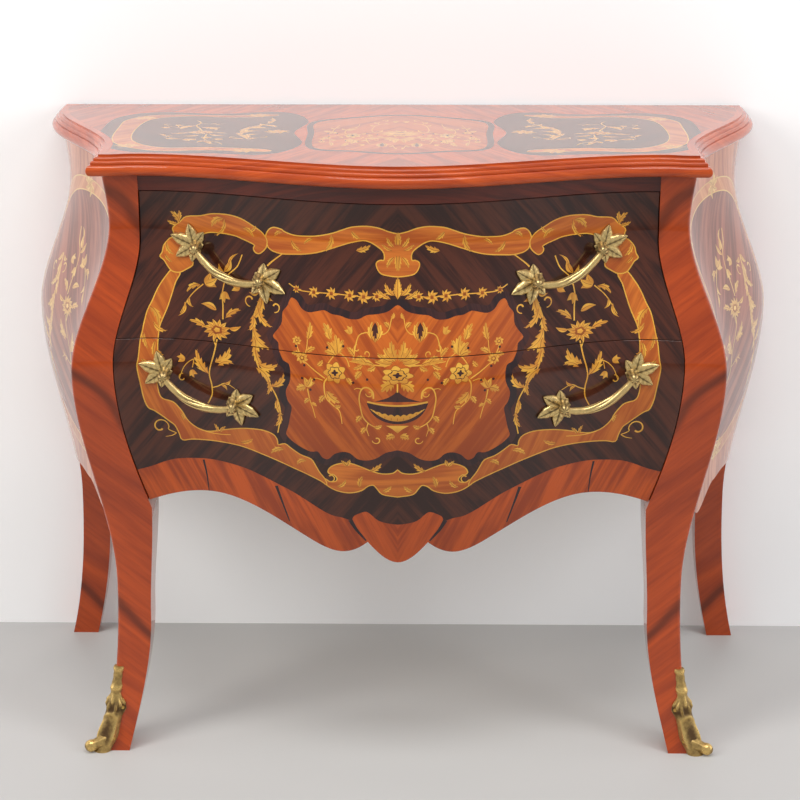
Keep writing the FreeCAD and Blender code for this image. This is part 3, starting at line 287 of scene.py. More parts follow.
def rose(centre, wide, high, turn=0.0):
    """Large open flower: ragged petals, a curled heart and a dark eye."""
    turns = np.linspace(0, 2 * math.pi, 56, endpoint=False)
    made = []
    for size, lobes, depth, wood, amount in (
        (1.08, 7, 0.15, AMBER, 0.0), (1.0, 7, 0.15, BOX, 0.7), (0.64, 6, 0.1, DARK, 0.0),
        (0.56, 6, 0.14, BOX, 0.7), (0.27, 4, 0.3, DARK, 0.0),
    ):
        wave = size * (1 + depth * np.cos(lobes * turns + turn))
        ring = np.stack([wide * np.cos(turns) * wave, high * np.sin(turns) * wave], 1) + centre
        made.append(Motif(ring, wood, (1, 0.4), (0.2, -1), amount))
    for k in range(7):
        angle = (2 * math.pi * (k + 0.5) - turn) / 7
        away = np.array([wide * math.cos(angle), high * math.sin(angle)])
        made += ribbon([centre + away * 0.62, centre + away * 0.74, centre + away * 0.86], 1.0, 0.5, AMBER, 0.9)
    return made


def spindle(centre, wide, high):
    """Dark bud between two ragged leaves."""
    cx, cz = centre
    low, top = (cx, cz - high), (cx, cz + high)
    made = leaf((cx, cz - high * 0.85), (cx, cz + high * 0.85), wide * 1.5, 0, 0, False, DARK)
    return made + leaf(low, top, wide * 0.85, 0.24, 4) + leaf(low, top, wide * 0.85, -0.24, 4)


def dots(places, radius):
    """Small dark berries."""
    ring = np.linspace(0, 2 * math.pi, 10, endpoint=False)
    circle = radius * np.stack([np.cos(ring), np.sin(ring)], 1)
    return [Motif(circle + place, DARK) for place in places]


def tulip(centre, size, toward):
    """Open tulip that points at an angle, in degrees."""
    made = []
    middle = math.radians(toward)
    base = np.array(centre) - 0.55 * size * np.array([math.cos(middle), math.sin(middle)])
    for off, reach in ((-38, 0.95), (38, 0.95), (0, 1.1)):
        angle = math.radians(toward + off)
        away = np.array([math.cos(angle), math.sin(angle)])
        bend = -0.1 if off > 0 else 0.1
        made += leaf(base, base + away * size * 1.45 * reach, size * 0.85, bend, 0, size > 9)
    return made


def star(centre, angles, wide, high, width):
    """Ragged leaves round a point; angles in degrees."""
    made = []
    for angle in angles:
        a = math.radians(angle)
        made += leaf(centre, (centre[0] + wide * math.cos(a), centre[1] + high * math.sin(a)), width, 0.15, 3)
    return made


def acanthus(rows, width):
    """Ragged leaves, one from each row of base, tip, scale and bend."""
    made = []
    for base, tip, scale, bend in rows:
        made += leaf(base, tip, width * scale, bend, 4)
    return made


# Outlines of the marquetry on one half of the front, as (distance from the middle, height): the outer
# scroll, the side scrolls and the middle pieces of the strapwork, the cartouche, and the apron's upper edge.
TOP_OUTER = [
    (294.5, 721), (297, 729), (298, 735), (288, 743), (280, 750), (261, 752), (247, 755.5), (230, 756.5),
    (215, 755), (202.5, 751), (192.5, 745.5), (181, 739), (175, 733), (172, 727), (173, 719), (178, 713),
    (183, 710), (187.5, 712), (189, 716), (187.5, 720), (194, 723.5), (204, 727), (217.5, 731), (242.5, 732.5),
    (256, 730), (268, 722), (280, 715),
]
SIDE_UPPER = [
    (300, 721), (306, 717), (311, 710.5), (313, 702), (316, 697), (311, 693), (306, 685.5), (300, 679),
    (290, 678), (280, 683), (273, 688), (274, 696), (280, 708), (288, 717),
]
SIDE_LOWER = [
    (300, 680), (310, 669), (319, 655.5), (326, 640.5), (332.5, 628), (336.5, 614), (339.5, 600), (342, 590),
    (345, 566), (347, 555), (344.5, 538.5), (342, 524.5), (339.5, 511), (334.5, 498), (327, 494), (317, 487),
    (306, 478.7), (299, 473), (293.6, 462), (290, 453), (278, 455), (261.7, 456), (239.4, 456), (217, 454.6),
    (200.5, 452), (181, 446.8), (159, 440.4), (139.4, 433.7), (120, 426.8), (100.6, 418.4), (94, 414),
    (97, 422), (103.3, 430), (109, 440), (114.4, 448), (128, 452.3), (141, 460), (149, 465), (158, 462),
    (160, 470), (165, 476), (178.3, 479.6), (200.5, 478.7), (222.8, 474.6), (250.5, 467.6), (264.5, 469),
    (275.5, 474.6), (284, 483), (289.4, 492.6), (299, 503.7), (306, 507), (314, 509), (319, 514), (322, 527),
    (322, 545), (320.5, 562), (320.5, 577), (320, 590), (317.5, 608), (312.5, 620.5), (307, 633), (301, 650.5),
    (296, 665.5), (290, 677),
]
TOP_MIDDLE = [
    (171, 724), (172.5, 732), (169, 740.5), (162.5, 745), (152.5, 743.5), (147.5, 740.5), (135, 737), (120, 737),
    (107.5, 738), (95, 740.5), (82.5, 744), (70, 749), (57.5, 753), (40, 754.5), (25, 752.5), (12.5, 748),
    (0, 745),
]
TOP_MIDDLE_LOW = [
    (0, 692), (10, 693), (21, 695.5), (26, 702), (27, 708), (22.5, 711), (18, 711), (16.5, 716), (18.5, 723),
    (25, 729), (35, 735), (45, 737), (60, 734), (75, 729), (90, 723.5), (105, 718.5), (120, 715.5), (135, 714),
    (150, 713), (162.5, 715), (169, 719),
]
BOTTOM_MIDDLE = [
    (0, 440), (6, 435), (20, 433.7), (33.9, 437), (47.8, 442.6), (61.7, 446.8), (75.6, 445.4), (86.7, 440),
    (91, 433), (88, 430), (84, 430), (79, 424.6), (81, 419), (89.4, 417.6), (95, 421), (96.4, 416.2),
    (86.7, 409.3), (75.6, 405.7), (61.7, 405), (47.8, 409.3), (39.4, 416.2), (31.7, 418), (27, 413.4),
    (20, 405), (6, 402.3), (0, 401.5),
]
CARTOUCHE_EDGE = [
    (0, 657), (10, 650.5), (17.5, 647.5), (27.5, 645.5), (40, 644), (50, 639), (62.5, 638.5), (75, 642),
    (85, 643), (95, 647), (105, 645), (116, 643), (125, 647), (131, 655.5), (137.5, 659), (141, 655.5),
    (144, 648), (150, 640.5), (151, 628), (155, 620), (163, 609), (156, 602), (155, 593), (153, 588),
    (149, 580), (141.5, 576), (139.4, 563.4), (140.8, 552.3), (146, 540), (143.6, 527.3), (138.5, 519),
    (140.8, 505), (143.6, 491), (146.5, 480), (139.4, 471.8), (128.3, 464.8), (114.4, 459.3), (104.7, 460.5),
    (99, 453), (91, 451), (82.5, 459.3), (71.4, 463.4), (61.7, 462), (53.3, 455), (43.6, 453), (33.9, 454.3),
    (25.6, 458), (15.8, 464.8), (6, 467.6), (0, 469),
]
APRON_LINE = [
    (352, 408), (335, 412), (317, 419), (300.6, 424), (278.3, 426.8), (256, 428), (234, 426.5), (206, 421.8),
    (184, 414.8), (159, 405), (136.7, 395.4), (117, 384.3), (100.6, 374.6), (86.7, 368.4), (72.8, 366.2),
    (61.7, 363.4), (57.5, 370.4), (43.6, 377.3), (36.7, 374.6), (25.6, 364.8), (11.7, 360.7), (0, 359.3),
]


def both_halves(half):
    """Closed outline from the points of one half, from the middle round to the middle."""
    return [(-d, z) for d, z in half[::-1] if d > 0] + list(half)


def spray_motifs():
    """Flowers between the handles, on one half."""
    made = ribbon([(205, 706), (212, 690), (226, 676), (232, 655), (231, 640), (231, 622)], 1.4, 1.8)
    made += ribbon([(239, 596), (243, 578), (250, 552), (247, 535), (247, 521), (253, 508)], 2.0, 1.4)
    made += ribbon([(239, 608), (244, 598), (241, 588)], 1.6, 1.6)
    made += leaf((229, 682), (221, 700), 9, 0.12) + leaf((224, 690), (210, 707), 4, -0.15)
    made += leaf((228, 676), (237, 692), 7, -0.12)
    made += tulip((250, 668), 12, 155) + tulip((212.5, 664), 8.5, 20) + tulip((229, 652), 9, 265)
    made += ribbon([(258, 664), (270, 654), (279, 643), (289, 626)], 1.6, 0.8)
    made += leaf((262, 663), (280, 652), 8, 0.2, 3) + leaf((277, 647), (271, 634), 5, 0.25)
    made += leaf((283, 640), (292, 622), 4.5, -0.2)
    made += leaf((240, 633), (261, 639), 8.5, 0.12) + leaf((228, 624), (206, 636), 8.5, -0.12, 3)
    made += leaf((254, 610), (277, 617), 9, 0.1, 3) + leaf((222, 611), (206, 616), 6, 0.1)
    made += bloom((239, 608), 19, 14, 12, 0.2)
    made += leaf((251, 549), (266, 581), 13, -0.15, 5) + leaf((242, 566), (222, 588), 14, 0.2, 4)
    made += leaf((238, 562), (216, 566), 9, -0.2, 3)
    made += ribbon([(246, 531), (238, 534), (228, 539), (215, 533)], 1.6, 0.8)
    made += leaf((230, 538), (221, 545), 4, 0.2) + leaf((234, 536), (226, 529), 4, -0.2)
    made += ribbon([(262, 566), (272, 567), (284, 557), (291, 540)], 1.5, 0.8)
    made += tulip((287, 567), 7.5, 15) + tulip((273, 549), 7, 250) + ribbon([(271, 566), (273, 556)], 1.2, 1)
    made += curl((287, 541), 6, 200, 260, 1.3)
    return made


def chain_motifs():
    """Acanthus chain that hangs beside the cartouche, on one half."""
    made = ribbon([
        (176, 664), (184, 644), (190, 625), (188, 606), (188, 585), (182, 566), (170, 549), (159, 531),
        (154, 512), (155, 496), (158, 480),
    ], 2.2, 1.6)
    made += acanthus([
        ((178, 656), (190, 628), 1.0, -0.12), ((183, 642), (163, 620), 0.8, 0.2), ((190, 632), (197, 612), 0.8, -0.2),
        ((190, 618), (165, 592), 1.1, 0.2), ((189, 606), (191, 580), 1.1, -0.15), ((187, 590), (176, 566), 0.8, 0.1),
        ((184, 572), (156, 575), 1.0, 0.22), ((186, 566), (168, 545), 0.9, -0.18), ((170, 552), (173, 531), 0.6, -0.2),
        ((166, 543), (149, 564), 0.8, 0.2), ((158, 528), (150, 506), 0.6, 0.18), ((155, 510), (163, 489), 0.6, -0.2),
    ], 12)
    made += curl((194, 650), 8, 160, -250, 1.8) + curl((160, 645), 7, 20, 260, 1.8)
    made += leaf((174, 664), (163, 652), 7, 0.2) + leaf((182, 662), (196, 660), 6, -0.2)
    return made


def strap_leaf_motifs():
    """Yellow leaves that lie on the strapwork, on one half."""
    made = acanthus([
        ((289, 742), (302, 757), 0.9, 0.1), ((291, 745), (290, 759), 0.7, 0.1), ((292, 740), (306, 745), 0.6, -0.1),
        ((230, 752), (246, 738), 1.0, 0.2), ((228, 753), (243, 728), 0.6, -0.2), ((195, 736), (186, 746), 0.5, 0.1),
        ((205, 742), (190, 728), 0.7, -0.2), ((150, 741), (161, 733), 0.6, 0.2),
        ((54, 723), (35, 731), 0.9, 0.1), ((60, 748), (48, 738), 0.7, 0.1), ((85, 743), (96, 720), 0.8, -0.15),
        ((139, 731), (124, 718), 0.7, 0.15), ((110, 736), (122, 727), 0.5, 0.1),
        ((331, 634), (320, 606), 1.0, -0.2), ((326, 614), (306, 603), 0.7, 0.2), ((338, 600), (332, 578), 0.6, 0.1),
        ((342, 566), (330, 545), 0.8, -0.1), ((321, 577), (310, 566), 0.8, 0.1), ((322, 590), (324, 566), 0.7, 0.1),
        ((308, 716), (297, 700), 0.7, 0.2), ((310, 700), (300, 690), 0.5, 0.1),
        ((240, 468), (246, 480), 0.5, 0.1), ((238, 468), (229, 478), 0.5, -0.1), ((286, 480), (292, 491), 0.5, 0.1),
        ((36.7, 437), (21, 450), 0.8, 0.1), ((50.6, 413), (45, 430), 0.8, -0.1), ((66, 443), (62, 453), 0.6, 0),
        ((66, 443), (74, 451), 0.6, 0), ((20, 408), (8, 417), 0.7, 0.1), ((80, 411), (68, 424), 0.6, 0.15),
        ((120, 446), (133, 437), 0.7, 0.2), ((150, 458), (168, 448), 0.8, 0.15), ((210, 458), (192, 466), 0.7, 0.1),
    ], 9.5)
    made += ribbon([(264, 469.5), (250, 466.5), (236, 466), (222.8, 467)], 1.6, 0.8)
    made += curl((319.5, 470.4), 12, 230, 330, 1.9, (298, 462))
    made += ribbon([(298, 462), (304, 458), (313, 456)], 1.6, 0.6)
    made += curl((88, 424.6), 7, 40, 280, 1.6)
    made += ribbon([(151, 712), (160, 705), (166, 700), (171, 695)], 1.4, 2.2)
    return made


def garland_motifs():
    """Leaf garland over the cartouche, and the sprays of the crown, on one half."""
    made = ribbon([(142, 676), (128, 669), (107, 668), (84, 668), (60, 667), (40, 666), (20, 669), (0, 676)], 1.3, 1.3)
    for x, z, size in ((109, 668, 10), (86, 668, 11), (62, 667, 11), (44, 666, 12), (27, 667, 9), (132, 670, 7)):
        for angle in (35, 80, 120, 175, 235, 280, 325):
            a = math.radians(angle)
            reach = size * (1.0 if angle == 175 else 0.8)
            tip = (x + math.cos(a) * reach, z + math.sin(a) * reach * 0.95)
            made += leaf((x, z), tip, size * 0.36, 0.1, 0, False)
        eye = [(x - 2, z - 2), (x + 2, z - 2), (x + 2, z + 2), (x - 2, z + 2)]
        made.append(Motif(eye, AMBER, (1, 1), (0, -1), 0.8))
    made += acanthus([
        ((0, 664), (0.5, 690), 1.2, 0), ((4, 668), (16, 684), 0.9, -0.15), ((9, 664), (26, 676), 0.7, -0.1),
        ((2, 730), (1, 748), 0.8, 0), ((5, 728), (14, 742), 0.7, -0.1), ((7, 724), (21, 733), 0.5, -0.1),
        ((2, 718), (1, 698), 0.7, 0), ((5, 716), (14, 702), 0.7, 0.1),
    ], 9)
    return made


def cartouche_stems():
    """Stems and scrolls on the cartouche, on one half."""
    made = ribbon([(24, 622), (17, 622), (11, 628), (8, 641)], 1.6, 1.0)
    made += ribbon([(36, 624), (49, 620), (54, 607), (57, 590)], 1.1, 1.9)
    made += ribbon([(16, 583), (38, 584), (62, 587)], 2.0, 1.1)
    made += ribbon([(90, 582), (84, 590), (78, 596)], 1.5, 1.2)
    made += ribbon([(62, 580), (66, 590), (76, 598)], 1.5, 1.2)
    made += ribbon([(94, 563), (108, 572), (122, 583)], 1.7, 1.1)
    made += ribbon([(122, 586), (118, 598), (117, 610)], 1.4, 1.0)
    made += ribbon([(126, 590), (130, 598), (131, 604)], 1.3, 1.0)
    made += ribbon([(90, 564), (95, 556), (93, 538), (84, 528), (75, 520), (72, 503)], 2.0, 0.9)
    made += ribbon([(97, 560), (106, 562), (114, 557)], 1.2, 1.0)
    made += ribbon([(117, 547), (114, 532), (110, 520), (107, 508)], 1.7, 0.8)
    made += ribbon([
        (31, 540), (32, 549), (39, 554.5), (46, 552), (49.5, 541), (48, 528), (44.5, 514), (37, 505.5), (27, 500),
    ], 2.2, 1.4)
    made += ribbon([(46, 552), (52, 553), (56, 551)], 1.5, 0.6) + ribbon([(38, 506), (40, 498), (37, 488)], 1.5, 0.7)
    made += curl((36, 546.5), 5, 60, 300, 1.6) + curl((27, 483), 6, 60, 290, 1.6)
    made += curl((52, 603), 5, 200, 250, 1.4) + curl((40, 597), 4.5, -20, 260, 1.3)
    return made


def cartouche_motifs():
    """Flowers, leaves and scrolls on the cartouche, on one half."""
    made = cartouche_stems()
    made += acanthus([
        ((2, 589), (8, 614), 1.2, -0.08), ((3, 588), (17, 606), 1.1, -0.12), ((5, 588), (26, 599), 1.0, -0.12),
        ((6, 586), (30, 590), 0.8, -0.1), ((30, 584), (60, 588), 0.8, 0.06), ((40, 585), (52, 594), 0.7, 0.1),
        ((44, 584), (58, 578), 0.6, -0.1), ((28, 583), (40, 577), 0.7, -0.12), ((4, 560), (21, 549), 1.5, 0.15),
        ((76, 595), (69, 613), 1.0, -0.1), ((78, 594), (81, 619), 1.2, 0.05), ((80, 594), (92, 609), 1.1, 0.1),
        ((80, 592), (95, 597), 0.9, 0.12), ((88, 612), (97, 632), 1.1, 0.1), ((86, 612), (90, 626), 0.8, -0.1),
        ((117, 609), (114, 632), 0.8, 0.08), ((118, 594), (106, 600), 0.7, -0.1), ((126, 590), (138, 590), 0.7, 0.1),
        ((92, 546), (74, 532), 1.1, 0.12), ((94, 540), (101, 529), 0.7, 0.1), ((82, 526), (73, 528), 0.6, 0.1),
        ((119, 549), (132, 543), 1.0, 0.1), ((114, 534), (121, 526), 0.6, 0.1), ((113, 528), (105, 524), 0.5, -0.1),
        ((46, 516), (53, 506), 0.7, 0.1), ((40, 500), (46, 490), 0.7, 0.15), ((30, 500), (20, 504), 0.6, 0.1),
        ((3, 489), (15, 484), 1.0, 0.15), ((8, 640), (5, 648), 0.5, 0.1), ((11, 630), (18, 636), 0.6, 0.1),
        ((46, 575), (54, 564), 0.8, 0.1), ((66, 566), (60, 556), 0.7, -0.1), ((104, 578), (97, 586), 0.6, 0.1),
        ((56, 594), (66, 604), 0.7, 0.1),
    ], 11)
    made += spindle((29, 624.5), 9, 13.5)
    made += rose((81, 571), 13, 12, 0.4)
    made += bloom((124, 586), 8.5, 8, 8, 0.2) + bloom((131, 607), 6.5, 6, 7, 0.3)
    made += tulip((116, 554), 9.5, 112) + tulip((62, 624), 7, 60)
    berries = [(39, 565), (57, 560), (70, 605), (91, 602), (108, 560), (124, 560), (121, 577), (132, 600), (113, 546)]
    return made + dots(berries, 1.7)


def urn_motifs():
    """Urn and rose in the middle of the cartouche."""
    t = np.linspace(-1, 1, 57)
    low = np.stack([36 * t, 509.5 + 17 * t**2], 1)
    scallops = 0.7 + 0.3 * np.abs(np.cos(4.5 * math.pi * t))
    high = low + np.stack([0 * t, (1 - t**2) * 9 * scallops], 1)
    body = flow([(-40, 534), (-33, 520), (-20, 510), (0, 505.5), (20, 510), (33, 520), (40, 534)], False, 4).tolist()
    lid = [(30, 536), (14, 541), (4, 547), (0, 552), (-4, 547), (-14, 541), (-30, 536)]
    made = [Motif(flow(lid, False, 3), DARK)]
    made.append(Motif(body + [[0, 530]], DARK, (1, 0)))
    made.append(Motif(low.tolist() + high[::-1].tolist()[1:-1], BOX, (1, 0), (0, -1), 0.7))
    for k in range(-4, 5):
        x = 36 * k / 4.5
        foot, tip = (x, 510.5 + 17 * (x / 36) ** 2), (x * 1.02, 514 + 14 * (x / 36) ** 2)
        made += ribbon([foot, tip], 1.0, 0.4, AMBER, 0.9)
    made += ribbon([(-39, 535.5), (-20, 532), (0, 530.8), (20, 532), (39, 535.5)], 2.4, 2.4)
    made.append(Motif([(-15, 503.5), (-7, 499), (0, 493), (7, 499), (15, 503.5)], BOX, (1, 0), (0, -1), 0.7))
    made += ribbon([(0, 560), (0, 549)], 2, 2) + rose((0, 571), 18, 10.5, 0.5)
    return made


def dark_joints():
    """Dark streaks where sheets of the apron's veneer meet, on one half."""
    made = []
    for points, width in (
        ([(162, 402), (156, 384), (145, 352)], 3.2), ([(63, 364), (55, 350), (42, 334)], 4.5),
        ([(262, 426), (258, 404), (256, 380)], 2.2),
    ):
        made += ribbon(points, width * 1.4, width * 0.5, DARK, 0)
    return made


def front_motifs():
    """All the marquetry of the front, from the lowest layer to the highest."""
    cartouche = flow(both_halves(CARTOUCHE_EDGE), steps=3)
    whole = [Motif(grown(cartouche, 9), DARK, (0.4, 1)), Motif(cartouche, CARTOUCHE, (0.6, 0.8), (0, -1), 0.35)]
    apron = flow(APRON_LINE, False, 3).tolist() + [[0, 280], [400, 280], [400, 408]]
    mirrored_apron = [[-d, z] for d, z in apron[::-1]]
    whole.append(Motif(apron, APRON_WOOD, (0.45, 0.9), (0, -1), 0.3))
    whole.append(Motif(mirrored_apron, APRON_WOOD, (0.45, 0.9), (0, -1), 0.3))
    half = dark_joints()
    half += strapwork(SIDE_LOWER, (0.5, 1)) + strapwork(SIDE_UPPER, (1, 1)) + strapwork(TOP_OUTER, (1, 0.3))
    high = flow(TOP_MIDDLE, False, 3).tolist()
    low = flow(TOP_MIDDLE_LOW, False, 3).tolist()
    outline = [[-d, z] for d, z in high] + high[::-1][1:] + low[::-1] + [[-d, z] for d, z in low[1:]]
    whole += strapwork(outline, (1, 0), 1.5, False)
    bottom = flow(BOTTOM_MIDDLE, False, 3).tolist()
    bottom = [[-d, z] for d, z in bottom[::-1]] + bottom
    whole += strapwork(dedupe(bottom), (1, 0), 1.5, False)
    half += spray_motifs() + chain_motifs() + strap_leaf_motifs() + garland_motifs() + cartouche_motifs()
    return whole + half + [motif.mirrored() for motif in half] + urn_motifs()


def dedupe(points):
    """Points without neighbours that coincide."""
    out = []
    for p in points:
        if not out or math.dist(p, out[-1]) > 0.05:
            out.append(p)
    if math.dist(out[0], out[-1]) <= 0.05:
        out.pop()
    return out


def side_motifs():
    """Marquetry of a side, over (depth, z)."""
    ring = flow([
        (60, 700), (110, 745), (190, 760), (270, 745), (320, 700), (322, 600), (318, 480), (290, 400),
        (190, 350), (95, 400), (58, 480), (56, 600),
    ], steps=6)
    inner = flow([
        (78, 690), (120, 728), (190, 740), (260, 728), (302, 690), (304, 600), (298, 490), (270, 420),
        (190, 376), (112, 418), (78, 490), (74, 600),
    ], steps=6)
    made = [Motif([(0, 250), (400, 250), (400, 820), (0, 820)], APRON_WOOD)]
    made += [Motif(grown(ring, 1.5), BOX, (1, 0)), Motif(ring, BAND, (1, 1), (0, -1), 0.4)]
    made += [Motif(grown(inner, 1.5), BOX, (1, 0)), Motif(inner, GROUND, (0.3, 1))]
    for m in spray_motifs() + chain_motifs():
        made.append(m.moved(lambda p: (p - [228, 590]) * [1.15, 1.1] + [200, 560]))
    for place in ((64, 700), (316, 700), (64, 470), (312, 470), (190, 752), (190, 362)):
        made += star(place, range(20, 380, 60), 20, 20, 10)
    return made


def top_motifs():
    """Marquetry of the top, over (x, depth)."""
    made = [Motif([(-600, -10), (600, -10), (600, 600), (-600, 600)], APRON_WOOD)]
    dark = flow([
        (405, 200), (395, 330), (330, 395), (250, 392), (175, 400), (140, 330), (155, 240), (140, 150),
        (175, 80), (260, 96), (350, 84), (395, 120),
    ], steps=5)
    half = [Motif(grown(dark, 9), DARK, (0.5, 1)), Motif(dark, GROUND, (0.6, 1), (0, -1), 0)]
    scroll = flow([
        (392, 190), (384, 320), (325, 382), (252, 378), (176, 388), (180, 372), (250, 358), (318, 360),
        (362, 305), (368, 200), (352, 130), (300, 108), (240, 118), (184, 104), (186, 92), (245, 102),
        (345, 98), (386, 136),
    ], steps=4)
    half += strapwork(scroll, (1, 1), 1.5, False)
    for m in spray_motifs() + chain_motifs():
        half.append(m.moved(lambda p: (p - [228, 600]) * [1.1, 0.95] + [262, 235]))
    for place in ((362, 345), (365, 125), (205, 380), (205, 100), (170, 235)):
        half += star(place, range(0, 360, 52), 19, 17, 9)
    middle = flow([
        (0, 398), (60, 380), (112, 360), (118, 250), (118, 160), (60, 120), (0, 100), (-60, 120),
        (-118, 160), (-118, 250), (-112, 360), (-60, 380),
    ], steps=5)
    made += [Motif(grown(middle, 9), DARK), Motif(middle, CARTOUCHE, (0.6, 0.8), (0, -1), 0.2)]
    made += bloom((0, 250), 30, 26, 14)
    for m in cartouche_motifs():
        half.append(m.moved(lambda p: (p - [0, 560]) * [0.8, 1.35] + [0, 250]))
    return made + half + [m.mirrored() for m in half]


# ---------------------------------------------------------------- meshes of the marquetry


def seeded(count):
    """Even, fixed numbers between 0 and 1."""
    return (np.arange(1, count + 1) * 0.6180339887) % 1


def triangles_of(outline, motifs, spacing, ring=None, axis=True):
    """Triangles inside an outline: points, cells, the top piece of each cell, the pieces, and points' origins."""
    outline = np.array(outline, float)
    low, high = outline.min(0), outline.max(0)
    kept = [m for m in motifs if (m.outline.max(0) > low).all() and (m.outline.min(0) < high).all()]
    points, edges, faces = [], [], []

    def add(shape):
        start = len(points)
        points.extend(Vector((float(a), float(b))) for a, b in shape)
        faces.append(list(range(start, start + len(shape))))

    add(outline)
    if ring is not None:
        add(ring)
    for m in kept:
        add(m.outline if area(m.outline) > 0 else m.outline[::-1])
    if axis and low[0] < 0 < high[0]:
        edges.append((len(points), len(points) + 1))
        points += [Vector((0.0, float(low[1]) - 5)), Vector((0.0, float(high[1]) + 5))]
    for a in np.arange(low[0] + spacing / 2, high[0], spacing):
        for b in np.arange(low[1] + spacing / 2, high[1], spacing):
            points.append(Vector((float(a) + 0.013 * b % 1.0, float(b))))
    result = delaunay_2d_cdt(points, edges, faces, 0, 1e-4, True)
    places = np.array([tuple(p) for p in result[0]])
    cells = np.array([list(cell) for cell in result[2]])
    middles = places[cells].mean(1)
    keep = inside(outline, middles)
    cells, middles = cells[keep], middles[keep]
    tops = np.full(len(cells), -1)
    for number, m in enumerate(kept):
        near = np.nonzero(((middles >= m.outline.min(0)) & (middles <= m.outline.max(0))).all(1))[0]
        tops[near[inside(m.outline, middles[near])]] = number
    return places, cells.tolist(), tops.tolist(), kept, result[3]


def inside(outline, spots):
    """Which spots an outline goes round."""
    turns = np.zeros(len(spots), int)
    x, y = spots[:, 0], spots[:, 1]
    for (ax, ay), (bx, by) in zip(outline, np.roll(outline, -1, 0)):
        left = (bx - ax) * (y - ay) - (x - ax) * (by - ay)
        turns += ((ay <= y) & (by > y) & (left > 0)).astype(int) - ((ay > y) & (by <= y) & (left < 0))
    return turns != 0


def rim_loop(cells):
    """Points round the edge of a patch of triangles, in order."""
    used = {(a, b): True for cell in cells for a, b in zip(cell, cell[1:] + cell[:1])}
    follow = {a: b for a, b in used if (b, a) not in used}
    start = next(iter(follow))
    loop = [start]
    while follow[loop[-1]] != start:
        loop.append(follow[loop[-1]])
    return loop


def veneered(name, outline, motifs, skin, back, normal_of, woods, flip=False, spacing=8, recesses=(), bevel=0.7):
    """Closed board whose face carries the marquetry.

    skin and back turn (a, b, step) into room coordinates: step goes in from the face or from the back.
    """
    ring = grown(outline, -bevel)
    places, cells, tops, kept, _ = triangles_of(outline, motifs, spacing, ring)
    used = sorted({i for cell in cells for i in cell})
    number = {old: new for new, old in enumerate(used)}
    places = places[used]
    cells = [[number[i] for i in cell] for cell in cells]
    loop = rim_loop(cells)
    on_rim = np.zeros(len(places), bool)
    on_rim[loop] = True
    face_points = skin(places[:, 0], places[:, 1], np.where(on_rim, bevel, 0.0))
    turns = np.linspace(0, 2 * math.pi, 20, endpoint=False)
    circles = [
        Motif(np.stack([a + BOLT_RADIUS * np.cos(turns), b + BOLT_RADIUS * np.sin(turns)], 1), BOX) for a, b in recesses
    ]
    rear_places, rear_cells, rear_tops, _, sources = triangles_of(
        places[loop], circles, max(spacing, REAR_SPACING), axis=False
    )
    index, rear_points, walls = {}, [], []
    rear_xyz = back(rear_places[:, 0], rear_places[:, 1], 0.0)
    deep_xyz = back(rear_places[:, 0], rear_places[:, 1], BOLT_DEPTH)
    base = len(places)

    def rear(i, deep):
        key = (i, deep)
        if key not in index:
            index[key] = base + len(rear_points)
            rear_points.append(deep_xyz[i] if deep else rear_xyz[i])
        return index[key]

    rear_faces = []
    owner = {}
    for cell, top in zip(rear_cells, rear_tops):
        deep = top >= 0
        rear_faces.append([rear(i, deep) for i in cell[::-1]])
        for a, b in zip(cell, cell[1:] + cell[:1]):
            owner[(a, b)] = deep
    for (a, b), deep in owner.items():
        if deep and owner.get((b, a)) is False:
            walls.append([rear(a, True), rear(b, True), rear(b, False), rear(a, False)])
    behind = {}
    for i, given in enumerate(sources):
        for k in given:
            if k < len(loop):
                behind[loop[k]] = i
    if len(rim_loop(rear_cells)) != len(set(behind.values())) or len(behind) != len(loop):
        raise ValueError(f"{name}: the two faces of the board have different edges")
    for a, b in zip(loop, loop[1:] + loop[:1]):
        walls.append(without_repeats([a, rear(behind[a], False), rear(behind[b], False), b]))
    vertices = np.vstack([face_points, np.array(rear_points)]) * 0.001
    faces = cells + rear_faces + walls
    if flip:
        faces = [face[::-1] for face in faces]
    mesh = bpy.data.meshes.new(name)
    mesh.from_pydata(vertices.tolist(), [], faces)
    paint(mesh, places, cells, tops, kept, flip)
    slots = [kept[top].wood if top >= 0 else GROUND for top in tops] + [len(woods) - 1] * (len(faces) - len(cells))
    for wood in woods:
        mesh.materials.append(wood)
    mesh.polygons.foreach_set("material_index", slots)
    mesh.polygons.foreach_set("use_smooth", [True] * len(faces))
    give_normals(mesh, places, cells, faces, on_rim, normal_of)
    made = bpy.data.objects.new(name, mesh)
    bpy.context.scene.collection.objects.link(made)
    return made


